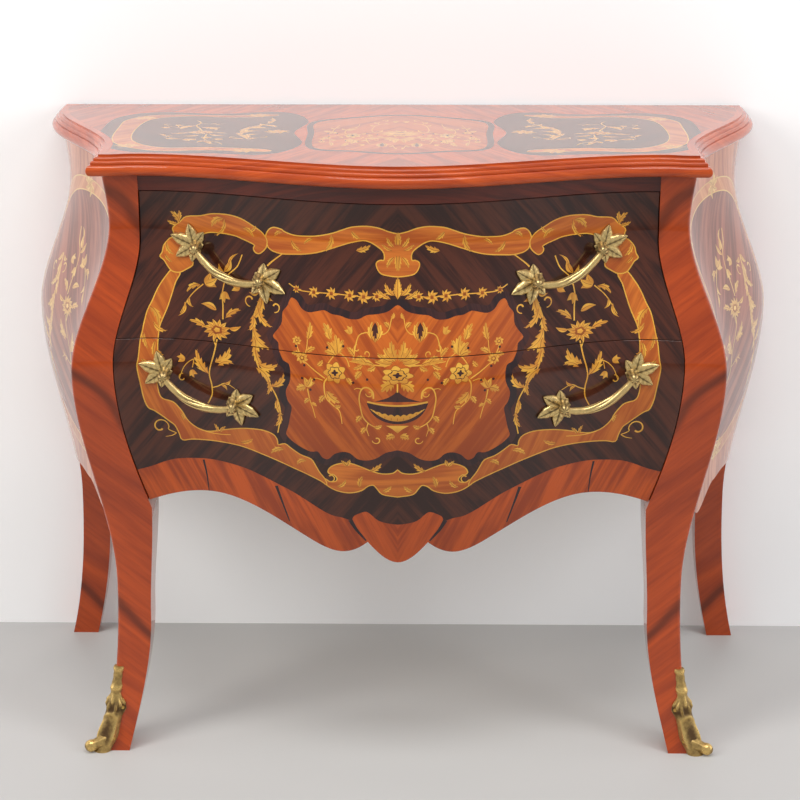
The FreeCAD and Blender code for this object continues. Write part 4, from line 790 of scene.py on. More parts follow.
def paint(mesh, places, cells, tops, kept, flip):
    """Grain coordinates and shading of each piece of veneer, corner by corner."""
    corner_count = len(mesh.loops)
    coords = np.zeros((corner_count, 2))
    colours = np.zeros((corner_count, 4))
    colours[:, 3] = 1
    tones = seeded(len(kept) + 1)
    spans = []
    for m in kept:
        along = m.outline @ m.shade
        spans.append((along.min(), max(along.max() - along.min(), 1e-6)))
    shades = {GROUND: (-0.64, 0.77), CARTOUCHE: (0.6, 0.8), APRON_WOOD: (0.45, 0.9), DARK: (-0.3, 1)}
    corner = 0
    for cell, top in zip(cells, tops):
        motif = kept[top] if top >= 0 else None
        wood = motif.wood if motif else GROUND
        grain = np.array(shades[wood]) if wood in shades else motif.grain
        tone = tones[top + 1]
        order = cell[::-1] if flip else cell
        for i in order:
            p = places[i]
            q = np.array([abs(p[0]), p[1]]) if wood in shades else p
            u = q @ grain
            v = q @ np.array([-grain[1], grain[0]])
            shift = 0 if wood in shades else tone
            coords[corner] = (u * 0.01 + shift * 7.3, v * 0.01 + shift * 3.1)
            shade = 0.0
            if motif and motif.amount:
                low, span = spans[top]
                shade = motif.amount * float(np.clip((p @ motif.shade - low) / span, 0, 1)) ** 1.5
            colours[corner, :3] = (shade, tone if wood not in shades else 0.5, 1.0)
            corner += 1
    mesh.uv_layers.new(name="veneer")
    mesh.uv_layers["veneer"].data.foreach_set("uv", coords.ravel())
    mesh.color_attributes.new("inlay", "FLOAT_COLOR", "CORNER")
    mesh.color_attributes["inlay"].data.foreach_set("color", colours.ravel())


def give_normals(mesh, places, cells, faces, on_rim, normal_of):
    """True normals of the curved face, flat ones elsewhere."""
    mesh.update()
    normals = np.zeros((len(mesh.loops), 3))
    true = normal_of(places[:, 0], places[:, 1])
    corner = 0
    for polygon in mesh.polygons:
        flat = np.array(polygon.normal)
        inlaid = polygon.index < len(cells)
        for i in polygon.vertices:
            on_face = inlaid and i < len(places) and not on_rim[i]
            normals[corner] = true[i] if on_face else flat
            corner += 1
    mesh.normals_split_custom_set(normals.tolist())


def slope(function, a, b, step=0.5):
    """Both slopes of a surface's height."""
    da = (function(a + step, b) - function(a - step, b)) / (2 * step)
    db = (function(a, b + step) - function(a, b - step)) / (2 * step)
    return da, db


def unit(vectors):
    """Vectors of length 1."""
    return vectors / np.linalg.norm(vectors, axis=1)[:, None]


def front_skin(x, z, step):
    """Points of a drawer front's face."""
    return np.stack([x, BACK_Y - front_depth(x, z) + step, z], 1)


def front_back(x, z, deep):
    """Points of a drawer front's back."""
    return np.stack([x, BACK_Y - front_depth(x, z) + FRONT_THICK - deep, z], 1)


def front_normal(x, z):
    """Normals of a drawer front's face."""
    dx, dz = slope(front_depth, x, z)
    return unit(np.stack([-dx, -np.ones_like(dx), -dz], 1))


def opening_side(low, high, count):
    """Points up the right side edge of a drawer front."""
    z = np.linspace(low, high, count)
    return [(float(curve(OPENING, v)) - OPENING_CLEARANCE, float(v)) for v in z]


def apron_end():
    """Height at which the apron's edge meets the side edge of the lower front."""
    low, high = 352.0, 545.0
    for _ in range(50):
        middle = (low + high) / 2
        if curve(APRON, curve(OPENING, middle) - OPENING_CLEARANCE) > middle:
            low = middle
        else:
            high = middle
    return (low + high) / 2


def straight(start, z):
    """Points between the ends of a level edge, from one side to the other."""
    return [(x, z) for x in np.linspace(start, -start, 60)[1:-1]]


def upper_outline():
    """Outline of the upper front."""
    right = opening_side(SEAM_TOP, FRONT_TOP, 32)
    left = [(-x, z) for x, z in right[::-1]]
    return right + straight(right[-1][0], FRONT_TOP) + left + straight(-right[0][0], SEAM_TOP)


def lower_outline():
    """Outline of the lower front with its apron and pendant."""
    right = opening_side(apron_end(), SEAM_LOW, 40)
    left = [(-x, z) for x, z in right[::-1]]
    (tip, tip_height, _), (shoulder, _, _) = PENDANT
    edge = [(float(x), float(curve(PENDANT, x))) for x in np.linspace(tip, shoulder, 12)[1:]]
    edge += [(float(x), float(curve(APRON, x))) for x in np.linspace(shoulder, right[0][0], 90)[1:-1]]
    bottom = [(-x, z) for x, z in edge[::-1]] + [(0.0, tip_height)] + edge
    return right + straight(right[-1][0], SEAM_LOW) + left + bottom


def make_fronts(woods):
    """Both drawer fronts."""
    motifs = front_motifs()
    for drawer, outline in (("upper", upper_outline()), ("lower", lower_outline())):
        holes = [(hand * x, z) for x, z in POSTS[drawer] for hand in (1, -1)]
        made = veneered(
            f"{drawer}_front_marquetry", outline, motifs, front_skin, front_back, front_normal, woods, recesses=holes,
        )
        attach(made, f"{drawer}_drawer")
        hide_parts(f"{drawer}_drawer_front")


def side_outline_points():
    """Outline of a side panel, over (depth, z)."""
    low = []
    for part in SIDE_LOW:
        for depth in np.linspace(part[0][0], part[-1][0], 16)[:-1]:
            low.append((float(depth), float(curve(part, depth))))
    ends = SIDE_LOW[0][0][1]
    right = [(float(SIDE_FRONT), float(z)) for z in np.linspace(ends, CASE_TOP, 40)]
    top = [(float(depth), float(CASE_TOP)) for depth in np.linspace(SIDE_FRONT, SIDE_BACK, 20)[1:-1]]
    left = [(float(SIDE_BACK), float(z)) for z in np.linspace(CASE_TOP, ends, 40)][:-1]
    return low + right + top + left


def make_sides(woods):
    """Both side panels."""
    for hand, name in ((1, "right"), (-1, "left")):
        def skin(depth, z, step, hand=hand):
            return np.stack([hand * (side_half(depth, z) - step), BACK_Y - depth, z], 1)

        def back(depth, z, deep, hand=hand):
            return np.stack([hand * (side_half(depth, z) - SIDE_THICK + deep), BACK_Y - depth, z], 1)

        def normal(depth, z, hand=hand):
            dd, dz = slope(side_half, depth, z)
            return unit(np.stack([hand * np.ones_like(dd), dd, -dz], 1))

        made = veneered(
            f"{name}_side_marquetry", side_outline_points(), side_motifs(), skin, back, normal, woods,
            flip=hand > 0, spacing=9, bevel=0.25,
        )
        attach(made, "carcase")
        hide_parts(f"{name}_side_panel")


def top_outline_points():
    """Plan of the board inside the moulding."""
    corner, depth_there = TOP_FRONT[2][0], TOP_FRONT[2][1] - LIPPING
    front = [(float(x), float(curve(TOP_FRONT, x)) - LIPPING) for x in np.linspace(0, corner, 50)]
    side = [(corner + SPREAD * float(curve(SWEEP, depth)), float(depth)) for depth in np.linspace(depth_there, 0, 40)]
    half = front + side[1:]
    wide = corner + SPREAD
    back = [(float(x), 0.0) for x in np.linspace(wide, -wide, 60)[1:-1]]
    return dedupe(half + back + [(-x, depth) for x, depth in half[::-1]])[::-1]


def make_top(woods):
    """Top board."""
    def skin(x, depth, step):
        return np.stack([x, BACK_Y - depth, TOP - step + 0 * x], 1)

    def back(x, depth, deep):
        return np.stack([x, BACK_Y - depth, CASE_TOP + deep + 0 * x], 1)

    def normal(x, depth):
        return np.stack([0 * x, 0 * x, 1 + 0 * x], 1)

    made = veneered(
        "top_marquetry", top_outline_points(), top_motifs(), skin, back, normal, woods,
        flip=True, spacing=30, bevel=0.15,
    )
    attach(made, "carcase")
    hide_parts("top_board")


# ---------------------------------------------------------------- materials


def colour(red, green, blue):
    """Linear colour of a display colour given from 0 to 255."""
    def linear(c):
        c /= 255
        return c / 12.92 if c <= 0.04045 else ((c + 0.055) / 1.055) ** 2.4
    return (linear(red), linear(green), linear(blue), 1)


class Value:
    """A socket of a shader, with arithmetic."""

    def __init__(self, tree, socket):
        self.tree, self.socket = tree, socket

    def run(self, operation, *others):
        """Result of a math node on this value and others."""
        kind = "ShaderNodeVectorMath" if self.socket.type == "VECTOR" else "ShaderNodeMath"
        return self.tree.node(kind, {"operation": operation}, self, *others)

    def __add__(self, other):
        return self.run("ADD", other)

    def __sub__(self, other):
        return self.run("SUBTRACT", other)

    def __mul__(self, other):
        return self.run("MULTIPLY", other)

    def __rsub__(self, other):
        return self.run("MULTIPLY", -1) + other

    def __abs__(self):
        return self.run("ABSOLUTE")

    __radd__ = __add__
    __rmul__ = __mul__


class Tree:
    """A material's nodes, round one Principled shader."""

    def __init__(self, name):
        self.material = bpy.data.materials.new(name)
        self.material.use_nodes = True
        self.nodes = self.material.node_tree.nodes
        self.links = self.material.node_tree.links
        self.shader = self.nodes["Principled BSDF"]

    def node(self, kind, settings, *inputs, out=0):
        """One output of a new node."""
        made = self.nodes.new(kind)
        for key, value in settings.items():
            setattr(made, key, value)
        for index, value in enumerate(inputs):
            self.feed(made.inputs[index], value)
        return Value(self, made.outputs[out])

    def feed(self, socket, value):
        """Link a value to a socket, or set the socket to a plain one."""
        if isinstance(value, Value):
            self.links.new(value.socket, socket)
        elif value is not None:
            socket.default_value = value

    def here(self):
        """Coordinates of the object, in metres."""
        return self.node("ShaderNodeTexCoord", {}, out="Object")

    def noise(self, place, scale=1.0, detail=2.0, rough=0.5, bend=0.0):
        made = self.nodes.new("ShaderNodeTexNoise")
        self.feed(made.inputs["Vector"], place)
        for key, value in (("Scale", scale), ("Detail", detail), ("Roughness", rough), ("Distortion", bend)):
            made.inputs[key].default_value = value
        return Value(self, made.outputs[0])

    def ramp(self, value, low, high):
        """0 below low, 1 above high, smooth between."""
        return self.node("ShaderNodeMapRange", {"interpolation_type": "SMOOTHSTEP"}, value, low, high, 0.0, 1.0)

    def mix(self, share, first, second):
        made = self.nodes.new("ShaderNodeMix")
        made.data_type = "RGBA"
        for index, value in ((0, share), (6, first), (7, second)):
            self.feed(made.inputs[index], value)
        return Value(self, made.outputs[2])

    def combine(self, x, y, z):
        return self.node("ShaderNodeCombineXYZ", {}, x, y, z)

    def split(self, vector):
        made = self.nodes.new("ShaderNodeSeparateXYZ")
        self.feed(made.inputs[0], vector)
        return [Value(self, output) for output in made.outputs]

    def bump(self, height, strength, distance):
        made = self.nodes.new("ShaderNodeBump")
        made.inputs["Strength"].default_value = strength
        made.inputs["Distance"].default_value = distance
        self.feed(made.inputs["Height"], height)
        self.feed(self.shader.inputs["Normal"], Value(self, made.outputs[0]))

    def set(self, **values):
        for key, value in values.items():
            self.feed(self.shader.inputs[key.replace("_", " ")], value)


def grain_colours(tree, place, light, dark, figure, pores):
    """Colour of wood over coordinates whose first axis runs with the grain, in units of 100 mm."""
    fine = tree.noise(place * (1.0, 20, 6), 1, 4, 0.6, 0.3)
    broad = tree.noise(place * (0.5, 4.2, 3) + (3, 7, 1), 1, 3, 0.55, 0.9)
    streak = tree.ramp(broad * 0.66 + fine * 0.34, 0.5 - figure, 0.5 + figure)
    wood = tree.mix(streak, light, dark)
    speck = tree.ramp(tree.noise(place * (2.4, 64, 20), 1, 3, 0.6), 0.56, 0.72)
    deep = tuple(c * 0.35 for c in dark[:3]) + (1,)
    return tree.mix(speck * pores, wood, deep), fine


def lacquer(tree, base, fine, gloss=0.05, coat=1.0):
    """High-gloss lacquer over wood."""
    worn = tree.noise(tree.here() * (9, 9, 9), 1, 3, 0.6)
    tree.set(Base_Color=base, Roughness=tree.ramp(worn, 0.1, 0.9) * 0.12 + 0.34)
    tree.set(Coat_Roughness=gloss, Coat_IOR=1.44, Specular_IOR_Level=0.12, Coat_Weight=coat)
    tree.bump(fine, 0.05, 0.0004)


def inlay(name, light, dark, figure=0.16, pores=0.3, burnt=(96, 38, 14)):
    """Veneer of the marquetry: grain from its own coordinates, scorched shading from its marks."""
    tree = Tree(name)
    place = tree.node("ShaderNodeUVMap", {"uv_map": "veneer"})
    base, fine = grain_colours(tree, place, colour(*light), colour(*dark), figure, pores)
    mark = tree.split(tree.node("ShaderNodeAttribute", {"attribute_name": "inlay"}))
    base = tree.mix(tree.ramp(mark[1], -0.4, 1.6) * 0.4, base, colour(*[c * 0.72 for c in light]))
    base = tree.mix(mark[0] * 0.8, base, colour(*burnt))
    lacquer(tree, base, fine)
    return tree.material


def solid_wood(name, light, dark, angle=0, figure=0.16, joints=0.0, coat=1.0, gloss=0.05, pores=0.25, along="z"):
    """Wood or veneer of a whole piece; where its grain runs at an angle it is the same on both halves of the chest.

    The grain runs along x or y, or at an angle to x in upright pieces. Raw wood has no coat.
    """
    tree = Tree(name)
    x, y, z = tree.split(tree.here() * (10, 10, 10))
    if along == "x":
        u, v = x, z + y * 0.7
    elif along == "y":
        u, v = y, z + x * 0.7
    else:
        a = math.radians(angle)
        side = abs(x)
        u = side * math.cos(a) + z * math.sin(a)
        v = z * math.cos(a) - side * math.sin(a) + y * 0.45
    place = tree.combine(u, v, y * 0.2)
    base, fine = grain_colours(tree, place, colour(*light), colour(*dark), figure, pores)
    if joints:
        wander = tree.noise(tree.combine(u * 0.6, v * 0.4, 2.0), 1, 1, 0.5) * 0.5
        turn = (v * 0.43 + wander).run("FRACT")
        line = 1 - tree.ramp(abs(turn - 0.5), 0.005, 0.06)
        base = tree.mix(line * joints, base, colour(*[c * 0.33 for c in dark]))
    if coat:
        lacquer(tree, base, fine, gloss, coat)
    else:
        tree.set(Base_Color=base, Roughness=fine * 0.2 + 0.5, Specular_IOR_Level=0.35)
        tree.bump(fine, 0.12, 0.0005)
    return tree.material


def raw_wood(name, light, dark, along, figure=0.2, pores=0.3):
    """Wood without lacquer."""
    return solid_wood(name, light, dark, figure=figure, coat=0, pores=pores, along=along)


def cast_brass(name, bright, old, rough=0.3):
    """Old cast brass: dull and brown in the hollows, bright where hands have rubbed it."""
    tree = Tree(name)
    place = tree.here()
    spots = tree.noise(place * (140, 140, 140), 1, 5, 0.65)
    factor = 2
    hollow = tree.node("ShaderNodeAttribute", {"attribute_name": "hollow"}, out=factor)
    age = tree.ramp(spots * 0.6 + hollow * 0.75, 0.28, 0.95)
    tree.set(Base_Color=tree.mix(age, colour(*bright), colour(*old)), Metallic=0.82 - age * 0.3)
    tree.set(Roughness=age * 0.25 + rough)
    tree.bump(tree.noise(place * (420, 420, 420), 1, 3, 0.6), 0.12, 0.0004)
    return tree.material


def steel_metal():
    """Plated steel of the screws and bolts."""
    tree = Tree("plated_steel")
    place = tree.here()
    spots = tree.noise(place * (300, 300, 300), 1, 3, 0.6)
    tree.set(Base_Color=tree.mix(spots, colour(176, 176, 172), colour(120, 118, 112)), Metallic=1.0)
    tree.set(Roughness=spots * 0.2 + 0.25)
    tree.bump(spots, 0.08, 0.0002)
    return tree.material


def side_woods_painted_reflection():
    """Paler copies of the front's woods for the sides, in the same order: lightened as a painted reflection of the pale
    wall in the sides' lacquer.
    """
    # painted reflection: these colours are lighter than the front's woods, to stand in for the white wall mirrored in
    # the sides
    return [
        inlay("side_rosewood", (172, 104, 84), (116, 64, 52), 0.1, 0.3),
        inlay("side_band", (228, 160, 110), (196, 120, 76), 0.12, 0.2, (150, 80, 44)),
        inlay("side_cartouche", (226, 156, 112), (186, 112, 76), 0.1, 0.2, (140, 70, 40)),
        inlay("side_boxwood", (244, 208, 134), (226, 180, 104), 0.2, 0.1, (176, 110, 56)),
        inlay("side_border", (120, 72, 62), (86, 50, 46), 0.1, 0.3),
        inlay("side_veneer", (214, 140, 104), (170, 98, 70), 0.1, 0.2, (120, 60, 36)),
        inlay("side_amber", (190, 122, 66), (156, 90, 46), 0.2, 0.2, (110, 56, 30)),
        raw_wood("side_edge", (140, 80, 50), (100, 54, 34), "y"),
    ]


def marquetry_woods():
    """Woods in the order of GROUND, BAND, CARTOUCHE, BOX, DARK, APRON_WOOD and AMBER, then the edge."""
    return [
        inlay("rosewood_ground", (84, 40, 23), (41, 18, 12), 0.1, 0.3),
        inlay("tulipwood_band", (220, 124, 42), (176, 84, 28), 0.1, 0.2, (140, 58, 20)),
        inlay("kingwood_cartouche", (209, 105, 30), (161, 68, 18), 0.1, 0.22, (110, 42, 18)),
        inlay("boxwood", (244, 190, 74), (224, 156, 52), 0.2, 0.1, (168, 84, 24)),
        inlay("dark_border", (66, 34, 30), (34, 20, 22), 0.08, 0.35),
        inlay("apron_veneer", (202, 86, 22), (146, 55, 14), 0.11, 0.25, (90, 30, 14)),
        inlay("amber_wood", (176, 96, 30), (140, 66, 22), 0.2, 0.2, (96, 40, 16)),
        raw_wood("board_edge", (120, 60, 34), (84, 40, 24), "x"),
    ]


# ---------------------------------------------------------------- pieces kept from the frame


def smooth_copy(node, material):
    """Copy of a frame's piece with its facets joined and its curves smooth."""
    source = frame["nodes"][node].data
    co = np.zeros(len(source.vertices) * 3)
    source.vertices.foreach_get("co", co)
    co = co.reshape(-1, 3)
    key, index, back = np.unique(np.round(co, 6), axis=0, return_index=True, return_inverse=True)
    back = back.reshape(-1)
    faces = []
    for polygon in source.polygons:
        face = without_repeats([int(back[i]) for i in polygon.vertices])
        if len(face) > 2:
            faces.append(face)
    mesh = bpy.data.meshes.new(node + "_smooth")
    mesh.from_pydata(co[index].tolist(), [], faces)
    mesh.validate()
    mesh.shade_smooth()
    mesh.set_sharp_from_angle(angle=math.radians(WOOD_CREASE))
    mesh.materials.append(material)
    made = bpy.data.objects.new(node + "_smooth", mesh)
    bpy.context.scene.collection.objects.link(made)
    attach(made, frame["nodes"][node]["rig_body"])
    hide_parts(node)
    return made


def without_repeats(face):
    """Points of a face, each once."""
    return list(dict.fromkeys(face))


def dress_frame():
    """Materials of the pieces that keep their shape."""
    leg = solid_wood("leg_veneer", (188, 76, 24), (140, 51, 18), angle=40, figure=0.24, joints=0.6)
    frieze = solid_wood("frieze_veneer", (104, 38, 20), (60, 21, 15), pores=0.3, along="x")
    moulding = {"figure": 0.22, "gloss": 0.06, "pores": 0.2}
    moulding_front = solid_wood("moulding_front_wood", (204, 86, 26), (156, 54, 16), along="x", **moulding)
    moulding_side = solid_wood("moulding_side_wood", (204, 86, 26), (156, 54, 16), along="y", **moulding)
    inner = raw_wood("inner_wood", (196, 160, 112), (160, 120, 78), "x")
    inner_long = raw_wood("inner_wood_long", (196, 160, 112), (160, 120, 78), "y")
    drawer = raw_wood("drawer_wood_long", (206, 172, 124), (174, 134, 88), "y")
    drawer_across = raw_wood("drawer_wood_across", (206, 172, 124), (174, 134, 88), "x")
    ply = raw_wood("plywood", (208, 176, 128), (182, 146, 98), "x", 0.22, 0.2)
    brass = cast_brass("pin_brass", (196, 160, 84), (96, 76, 36))
    steel = steel_metal()
    smooth_pieces = (
        ("front_left_leg", leg, "leg_veneer"), ("front_right_leg", leg, "leg_veneer"),
        ("back_left_leg", leg, "leg_veneer"), ("back_right_leg", leg, "leg_veneer"),
        ("top_front_rail", frieze, "frieze_veneer"), ("top_moulding_front", moulding_front, "moulding_wood"),
        ("top_moulding_left", moulding_side, "moulding_wood"), ("top_moulding_right", moulding_side, "moulding_wood"),
    )
    for node, material, slot in smooth_pieces:
        smooth_copy(node, material)
    finishes = {"inner_wood": inner, "drawer_wood": drawer, "plywood": ply, "pin_brass": brass, "steel": steel}
    for row in frame["record"]["subparts"]:
        node = row["node"]
        material = finishes.get(row["material_slot"])
        if "drawer_back" in node:
            material = drawer_across
        if "runner" in node or "kicker" in node:
            material = inner_long
        if material:
            data = frame["nodes"][node].data
            data.materials.clear()
            data.materials.append(material)


# ---------------------------------------------------------------- cast brass


def grid_faces(rows, columns, closed, start=0):
    """Faces between rows of points."""
    faces = []
    for i in range(rows - 1):
        for j in range(columns if closed else columns - 1):
            k = (j + 1) % columns
            faces.append([start + i * columns + j, start + i * columns + k,
                          start + (i + 1) * columns + k, start + (i + 1) * columns + j])
    return faces


class Casting:
    """A casting put together from closed skins, with how hollow each point lies."""

    def __init__(self):
        self.points, self.faces, self.hollow = [], [], []

    def add(self, points, faces, hollow):
        """One more closed skin."""
        start = len(self.points)
        points = np.asarray(points, float)
        faces = [[start + i for i in face] for face in faces]
        self.points += points.tolist()
        self.hollow += list(hollow)
        self.faces += outward(self.points, faces)

    def tube(self, rings, hollow):
        """Closed skin through rings of points."""
        rows, columns = len(rings), len(rings[0])
        points = np.vstack([np.vstack(rings), np.mean(rings[0], 0), np.mean(rings[-1], 0)])
        faces = grid_faces(rows, columns, True)
        first, last = rows * columns, rows * columns + 1
        for j in range(columns):
            k = (j + 1) % columns
            faces.append([k, j, first])
            faces.append([(rows - 1) * columns + j, (rows - 1) * columns + k, last])
        self.add(points, faces, list(hollow) + [0.4, 0.4])

    def finish(self, name, material, body, node):
        """The casting as one object."""
        mesh = bpy.data.meshes.new(name)
        mesh.from_pydata((np.array(self.points) * 0.001).tolist(), [], self.faces)
        mark = mesh.attributes.new("hollow", "FLOAT", "POINT")
        mark.data.foreach_set("value", np.array(self.hollow, np.float32))
        mesh.shade_smooth()
        mesh.set_sharp_from_angle(angle=math.radians(BRASS_CREASE))
        mesh.materials.append(material)
        made = bpy.data.objects.new(name, mesh)
        bpy.context.scene.collection.objects.link(made)
        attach(made, body)
        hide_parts(node)
        return made


def outward(points, faces):
    """Faces turned so that their skin encloses a positive volume."""
    p = np.array(points)
    volume = 0.0
    for face in faces:
        for b, c in zip(face[1:], face[2:]):
            volume += np.dot(p[face[0]], np.cross(p[b], p[c]))
    return faces if volume > 0 else [face[::-1] for face in faces]


def brass_leaf(casting, base, toward, length, width, lift, curl_up):
    """Leaf of a handle's plate: (x, z) base on the front, an angle, and heights over the front."""
    a = math.radians(toward)
    ahead = np.array([math.cos(a), math.sin(a)])
    across = np.array([-ahead[1], ahead[0]])
    rows, columns = 19, 13
    top, low, hollow = [], [], []
    for i in range(rows):
        t = i / (rows - 1)
        swell = math.sin(math.pi * t**0.85) ** 0.8 + 0.16 * (1 - t)
        half = max(width / 2 * swell * (1 - 0.045 * math.cos(t * 24)), 0.12)
        for j in range(columns):
            w = -1 + 2 * j / (columns - 1)
            x, z = np.array(base) + ahead * length * t + across * half * w
            dome = (1 - w * w) ** 0.5 * (0.35 + 0.65 * math.sin(math.pi * min(1, t * 1.05)))
            vein = math.exp(-((w / 0.13) ** 2))
            ribs = 0.5 + 0.5 * math.cos((t * 9 - abs(w) * 1.6) * math.pi)
            height = 0.5 + lift * dome - 1.1 * vein * (1 - t * 0.6) - 0.55 * ribs * min(1, abs(w) * 3) * dome
            height += curl_up * t * t + 2.2 * (1 - t) ** 2
            surface = BACK_Y - float(front_depth(x, z))
            top.append((x, surface - max(height, 0.35), z))
            low.append((x, surface + 0.05, z))
            hollow.append(min(1, 0.25 + 0.7 * vein + 0.35 * ribs * dome - 0.25 * dome))
    n = rows * columns
    faces = grid_faces(rows, columns, False) + [f[::-1] for f in grid_faces(rows, columns, False, n)]
    edge = list(range(columns)) + [i * columns + columns - 1 for i in range(1, rows)]
    edge += [(rows - 1) * columns + j for j in range(columns - 2, -1, -1)]
    edge += [i * columns for i in range(rows - 2, 0, -1)]
    for p, q in zip(edge, edge[1:] + edge[:1]):
        faces.append([q, p, p + n, q + n])
    casting.add(top + low, faces, hollow + [0.9] * n)


def turned(casting, centre, profile, count, lobes, depth):
    """Lobed stem that stands out from the front; profile is (out, radius) from the plate."""
    rings, hollow = [], []
    for out, radius in profile:
        ring = []
        for j in range(count):
            a = 2 * math.pi * j / count
            r = max(radius, 0.15) * (1 + depth * math.cos(lobes * a))
            ring.append((centre[0] + r * math.cos(a), centre[1] - out, centre[2] + r * math.sin(a)))
            hollow.append(0.45 - 0.3 * math.cos(lobes * a))
        rings.append(np.array(ring))
    casting.tube(rings, hollow)


def bar_tree(material):
    """Geometry nodes that turn a path into a swelling bar with twisted flutes."""
    group = bpy.data.node_groups.new("fluted_bar", "GeometryNodeTree")
    face = group.interface
    face.new_socket("Geometry", in_out="INPUT", socket_type="NodeSocketGeometry")
    for name, value in (("Radius", 0.0044), ("Swell", 0.3), ("Flutes", 7.0), ("Flute depth", 0.12), ("Twist", 15.0)):
        face.new_socket(name, in_out="INPUT", socket_type="NodeSocketFloat").default_value = value
    face.new_socket("Geometry", in_out="OUTPUT", socket_type="NodeSocketGeometry")
    nodes, links = group.nodes, group.links
    start, end = nodes.new("NodeGroupInput"), nodes.new("NodeGroupOutput")

    def make(kind, settings=None, **inputs):
        made = nodes.new(kind)
        for key, value in (settings or {}).items():
            setattr(made, key, value)
        for key, value in inputs.items():
            by_place = key[0] == "i" and key[1:].isdigit()
            socket = made.inputs[int(key[1:]) if by_place else key.replace("_", " ")]
            if isinstance(value, bpy.types.NodeSocket):
                links.new(value, socket)
            else:
                socket.default_value = value
        return made.outputs

    def math_(operation, a, b=0.0):
        return make("ShaderNodeMath", {"operation": operation}, i0=a, i1=b)[0]

    def store(geometry, attribute, value):
        settings = {"data_type": "FLOAT", "domain": "POINT"}
        return make("GeometryNodeStoreNamedAttribute", settings, Geometry=geometry, Name=attribute, Value=value)[0]

    path = make("GeometryNodeMeshToCurve", i0=start.outputs["Geometry"])[0]
    path = make("GeometryNodeResampleCurve", Curve=path, Count=110)[0]
    path = store(path, "along", make("GeometryNodeSplineParameter")[0])
    circle = make("GeometryNodeCurvePrimitiveCircle", Resolution=42, Radius=start.outputs["Radius"])[0]
    circle = store(circle, "around", make("GeometryNodeSplineParameter")[0])
    skin = make("GeometryNodeCurveToMesh", Curve=path, Profile_Curve=circle, Fill_Caps=True)[0]
    t = make("GeometryNodeInputNamedAttribute", {"data_type": "FLOAT"}, Name="along")[0]
    turn = make("GeometryNodeInputNamedAttribute", {"data_type": "FLOAT"}, Name="around")[0]
    hump = math_("SINE", math_("MULTIPLY", t, math.pi))
    belly, middle = math_("POWER", hump, 2.0), math_("POWER", hump, 6.0)
    phase = math_("ADD", math_("MULTIPLY", math_("MULTIPLY", turn, start.outputs["Flutes"]), 2 * math.pi),
                  math_("MULTIPLY", t, start.outputs["Twist"]))
    flute = math_("MULTIPLY", math_("MULTIPLY", math_("COSINE", phase), start.outputs["Flute depth"]), middle)
    beads = math_("MULTIPLY", math_("COSINE", math_("MULTIPLY", t, 12 * math.pi)), 0.05)
    beads = math_("MULTIPLY", beads, math_("SUBTRACT", 1.0, belly))
    grow = math_("ADD", math_("ADD", math_("MULTIPLY", belly, start.outputs["Swell"]), flute), beads)
    push = math_("MULTIPLY", grow, start.outputs["Radius"])
    normal = make("GeometryNodeInputNormal")[0]
    shift = make("ShaderNodeVectorMath", {"operation": "SCALE"}, Vector=normal, Scale=push)[0]
    skin = make("GeometryNodeSetPosition", Geometry=skin, Offset=shift)[0]
    dent = math_("MULTIPLY", math_("MULTIPLY", math_("COSINE", phase), -0.5), middle)
    skin = store(skin, "hollow", math_("ADD", dent, 0.25))
    skin = make("GeometryNodeSetMaterial", Geometry=skin, Material=material)[0]
    skin = make("GeometryNodeRealizeInstances", Geometry=skin)[0]
    links.new(skin, end.inputs["Geometry"])
    return group


def bar_skin(name, route, group):
    """Mesh of a handle's bar along its route."""
    path = flow(route, False, 12) * 0.001
    mesh = bpy.data.meshes.new(name)
    mesh.from_pydata(path.tolist(), [(i, i + 1) for i in range(len(path) - 1)], [])
    made = bpy.data.objects.new(name, mesh)
    bpy.context.scene.collection.objects.link(made)
    modifier = made.modifiers.new("fluted_bar", "NODES")
    modifier.node_group = group
    graph = bpy.context.evaluated_depsgraph_get()
    graph.update()
    result = bpy.data.meshes.new_from_object(made.evaluated_get(graph))
    made.modifiers.clear()
    bpy.data.objects.remove(made)
    return result


def make_handle(drawer, hand, material, group):
    """One pull: two clusters of leaves, two knuckles and the bar between them."""
    casting = Casting()
    ends = []
    (ox, oz), (ix, iz) = POSTS[drawer]
    posts = [(hand * ox, oz), (hand * ix, iz)]
    for (x, z), (px, pz) in zip(posts, posts[::-1]):
        away = math.degrees(math.atan2(z - pz, x - px))
        surface = BACK_Y - float(front_depth(x, z))
        a = math.radians(away)
        hub = (x + 3 * math.cos(a), z + 3 * math.sin(a))
        for off, length, width, lift, rise in (
            (104, 22, 13, 3.2, 1.0), (-104, 22, 13, 3.2, 1.0), (54, 29, 15.5, 4.6, 2.0), (-53, 29, 15.5, 4.6, 2.0),
            (0, 34, 16.5, 5.2, 2.8), (156, 13, 9, 2.4, 0.6), (-156, 13, 9, 2.4, 0.6),
        ):
            brass_leaf(casting, hub, away + off, length, width, lift, rise)
        turned(casting, (x, surface, z), KNUCKLE, 28, 7, 0.035)
        ends.append(np.array([x, surface - 24, z]))
    outer, inner = ends
    span = inner - outer
    drop = np.array([0, 0, -16])
    sag = ((0.16, 0.62), (0.36, 1.02), (0.6, 0.98), (0.82, 0.58))
    route = [outer] + [outer + span * share + drop * low for share, low in sag] + [inner]
    name = f"{drawer}_{'right' if hand > 0 else 'left'}_handle"
    skin = bar_skin(name + "_bar", route, group)
    points = np.array([tuple(v.co) for v in skin.vertices]) * 1000
    hollow = [0.0] * len(points)
    if "hollow" in skin.attributes:
        hollow = [item.value for item in skin.attributes["hollow"].data]
    casting.add(points, [list(p.vertices) for p in skin.polygons], hollow)
    made = casting.finish(name + "_cast", material, f"{drawer}_drawer", name)
    bpy.data.meshes.remove(skin)
    return made


def bell(distance, width):
    """Smooth hump, 1 in its middle."""
    return math.exp(-((distance / width) ** 2))


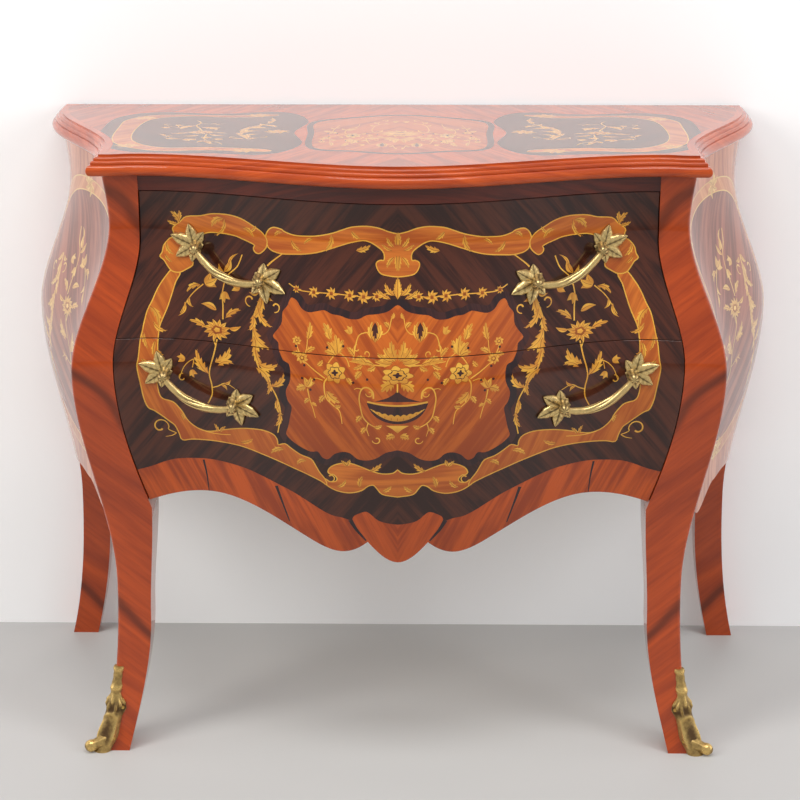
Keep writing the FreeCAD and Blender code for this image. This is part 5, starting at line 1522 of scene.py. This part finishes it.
def shoe_ring(hand, h, count):
    """One ring of a shoe at a height, and how hollow each of its points lies."""
    cx = float(curve(LEG_OUTLINE, h) - curve(SHOE_INWARD, h))
    depth = float(curve(LEG_FACE, h) - curve(SHOE_BEHIND, h))
    radius = float(curve(SHOE_RADIUS, h))
    leafy = bell(h - 62, 9)
    knob = bell(h - 88, 4) + 0.8 * bell(h - 114, 3.2)
    cup = bell(h - 27, 16)
    strap = 1 / (1 + math.exp(-(h - 80) / 3))
    ring, hollow = [], []
    for j in range(count):
        a = 2 * math.pi * j / count
        facing = (a - math.radians(-66) + math.pi) % (2 * math.pi) - math.pi
        bowl = bell(facing, 0.62)
        rims = bell(abs(facing) - 0.9, 0.17)
        lip = bell(h - 48 - 5 * math.cos(facing * 2), 2.6) * bell(facing, 0.95)
        petals = 0.0
        for k in range(-4, 5):
            high = 66 + 6 * math.cos(k * 2.4)
            off = facing - k * 0.42
            petals += (1 - 0.4 * bell(off, 0.05)) * math.exp(-((off / 0.155) ** 2) - ((h - high) / 6.5) ** 2)
        seams = math.cos(2 * math.pi * (h - 88) / 11.0 + 2.2 * abs(facing)) * strap
        relief = 1 + 0.36 * petals - 0.1 * leafy + 0.24 * knob - 0.24 * cup * bowl + 0.2 * cup * rims + 0.16 * lip
        r = radius * relief + 0.3 * seams
        ring.append((hand * (cx + r * math.cos(a)), BACK_Y - depth + r * math.sin(a), h))
        raised = 0.75 * petals + 0.4 * cup * rims + 0.35 * knob + 0.4 * lip
        hollow.append(0.42 + 0.55 * leafy + 0.45 * cup * bowl - raised)
    return np.array(ring), hollow


def toe_rings(hand):
    """Rings of the scroll at a shoe's toe, and how hollow their points lie."""
    start = np.array([409.0, BACK_Y - 444, 12.5])
    end = np.array([428.0, BACK_Y - 454, 9.5])
    axis = (end - start) / np.linalg.norm(end - start)
    side = np.cross(axis, (0, 0, 1))
    side /= np.linalg.norm(side)
    up = np.cross(side, axis)
    count = 32
    turns = np.linspace(0, 2 * math.pi, count, endpoint=False)
    rings, hollow = [], []
    for t, radius in TOE:
        wave = 1 + (0.05 if t < 0.8 else 0.0) * np.cos(turns * 8)
        around = np.cos(turns)[:, None] * side + np.sin(turns)[:, None] * up
        ring = start + (end - start) * t + radius * wave[:, None] * around
        ring[:, 2] = np.maximum(ring[:, 2], 0.4)
        ring[:, 0] *= hand
        rings.append(ring)
        hollow += [0.55 if t > 1.38 else 0.2 if t > 0.8 else 0.45] * count
    return rings, hollow


def make_shoe(hand, material):
    """Brass shoe of a front foot: a strap, a spray of leaves, a spoon and a scrolled toe."""
    casting = Casting()
    rings, hollow = [], []
    for h in np.linspace(0, SHOE_HEIGHT, 150):
        ring, marks = shoe_ring(hand, h, 96)
        rings.append(ring)
        hollow += marks
    casting.tube(rings, hollow)
    casting.tube(*toe_rings(hand))
    name = "right_sabot" if hand > 0 else "left_sabot"
    return casting.finish(name + "_cast", material, "carcase", name)


def make_brass():
    """All the handles and shoes."""
    handle = cast_brass("handle_brass", (236, 204, 136), (98, 76, 42), 0.25)
    shoe = cast_brass("sabot_brass", (226, 190, 116), (84, 60, 32), 0.25)
    group = bar_tree(handle)
    for drawer in ("upper", "lower"):
        for hand in (1, -1):
            make_handle(drawer, hand, handle, group)
    for hand in (1, -1):
        make_shoe(hand, shoe)


# ---------------------------------------------------------------- room, light and camera


def plain(name, shade, rough, glow, one_sided=False):
    """Paint of the room: its colour and a faint glow that the camera, mirrors and glass see.

    A one-sided wall isn't seen from behind.
    """
    tree = Tree(name)
    place = tree.here()
    spots = tree.noise(place * (1.5, 1.5, 1.5), 1, 2, 0.5)
    rays = tree.nodes.new("ShaderNodeLightPath")
    camera, glossy, transmitted = (Value(tree, rays.outputs[kind]) for kind in SEEING_RAYS)
    seen = camera + glossy + transmitted
    tree.set(Base_Color=tree.mix(spots, colour(*shade), colour(*[c * 0.97 for c in shade])), Roughness=rough)
    tree.set(Emission_Color=tree.mix(seen, (0, 0, 0, 1), (glow, glow, glow, 1)), Emission_Strength=1.0)
    if one_sided:
        tree.set(Alpha=1 - tree.node("ShaderNodeNewGeometry", {}, out="Backfacing"))
    return tree.material


def panel(name, corners, material):
    """Flat surface of the room."""
    mesh = bpy.data.meshes.new(name)
    mesh.from_pydata(corners, [], [(0, 1, 2, 3)])
    mesh.materials.append(material)
    made = bpy.data.objects.new(name, mesh)
    bpy.context.scene.collection.objects.link(made)
    return made


def light(name, place, target, size, power, tone=(1, 1, 1), mirrored=True):
    """Area light that points at a target; one that isn't mirrored makes no highlight."""
    data = bpy.data.lights.new(name, "AREA")
    data.shape, data.size, data.size_y, data.energy, data.color = "RECTANGLE", size[0], size[1], power, tone
    made = bpy.data.objects.new(name, data)
    made.location = place
    made.visible_glossy = mirrored
    made.rotation_euler = (Vector(target) - Vector(place)).to_track_quat("-Z", "Y").to_euler()
    bpy.context.scene.collection.objects.link(made)


def make_room():
    """Floor, wall, lights and world; lengths in metres."""
    panel("floor", [(-6, -7, 0), (6, -7, 0), (6, 7, 0), (-6, 7, 0)], plain("floor_paint", (197, 196, 194), 0.6, 0.02))
    paint_ = plain("wall_paint", (242, 242, 242), 0.7, 0.15, True)
    corners = [(-6, WALL_Y, 0), (6, WALL_Y, 0), (6, WALL_Y, 5), (-6, WALL_Y, 5)]
    backdrop = panel("backdrop", corners, paint_)
    backdrop.visible_diffuse = backdrop.visible_shadow = False
    light("key", (-3.2, -2.4, 2.6), (0, -0.1, 0.5), (1.8, 2.4), 100, (1, 0.98, 0.95), False)
    light("fill", (3.4, -2.2, 2.2), (0, -0.1, 0.5), (1.8, 2.4), 75, (0.97, 0.98, 1), False)
    light("above", (0, -1.3, 3.9), (0, -0.1, 0.6), (3.0, 1.4), 80)
    light("left_wall", (-2.6, 0.1, 1.2), (0, 0, 0.6), (1.6, 2.4), 16)
    light("right_wall", (2.6, 0.1, 1.2), (0, 0, 0.6), (1.6, 2.4), 16)
    light("rear", (0, 3.4, 2.4), (0, 0.2, 0.4), (3.0, 2.0), 30)
    world = bpy.data.worlds.new("room")
    bpy.context.scene.world = world
    world.use_nodes = True
    sky = world.node_tree.nodes["Background"]
    sky.inputs[0].default_value = (0.95, 0.96, 1, 1)
    rays = world.node_tree.nodes.new("ShaderNodeLightPath")
    strength = None
    for kind in SEEING_RAYS:
        step = world.node_tree.nodes.new("ShaderNodeMath")
        step.operation = "MULTIPLY_ADD"
        world.node_tree.links.new(rays.outputs[kind], step.inputs[0])
        step.inputs[1].default_value, step.inputs[2].default_value = SKY_SEEN, SKY_DIM
        if strength:
            world.node_tree.links.new(strength, step.inputs[2])
        strength = step.outputs[0]
    world.node_tree.links.new(strength, sky.inputs[1])


def make_camera():
    """Camera of the front view."""
    data = bpy.data.cameras.new("camera")
    data.lens, data.sensor_width, data.clip_start, data.clip_end = CAMERA_LENS, 36, 0.1, 50
    made = bpy.data.objects.new("camera", data)
    made.location = CAMERA_PLACE
    made.rotation_euler = (math.radians(90 - CAMERA_TILT), 0, math.radians(CAMERA_TURN))
    bpy.context.scene.collection.objects.link(made)
    bpy.context.scene.camera = made
    bpy.context.scene.view_settings.view_transform = "Standard"


woods = marquetry_woods()
make_fronts(woods)
make_sides(side_woods_painted_reflection())
make_top(woods)
dress_frame()
make_brass()
make_room()
make_camera()
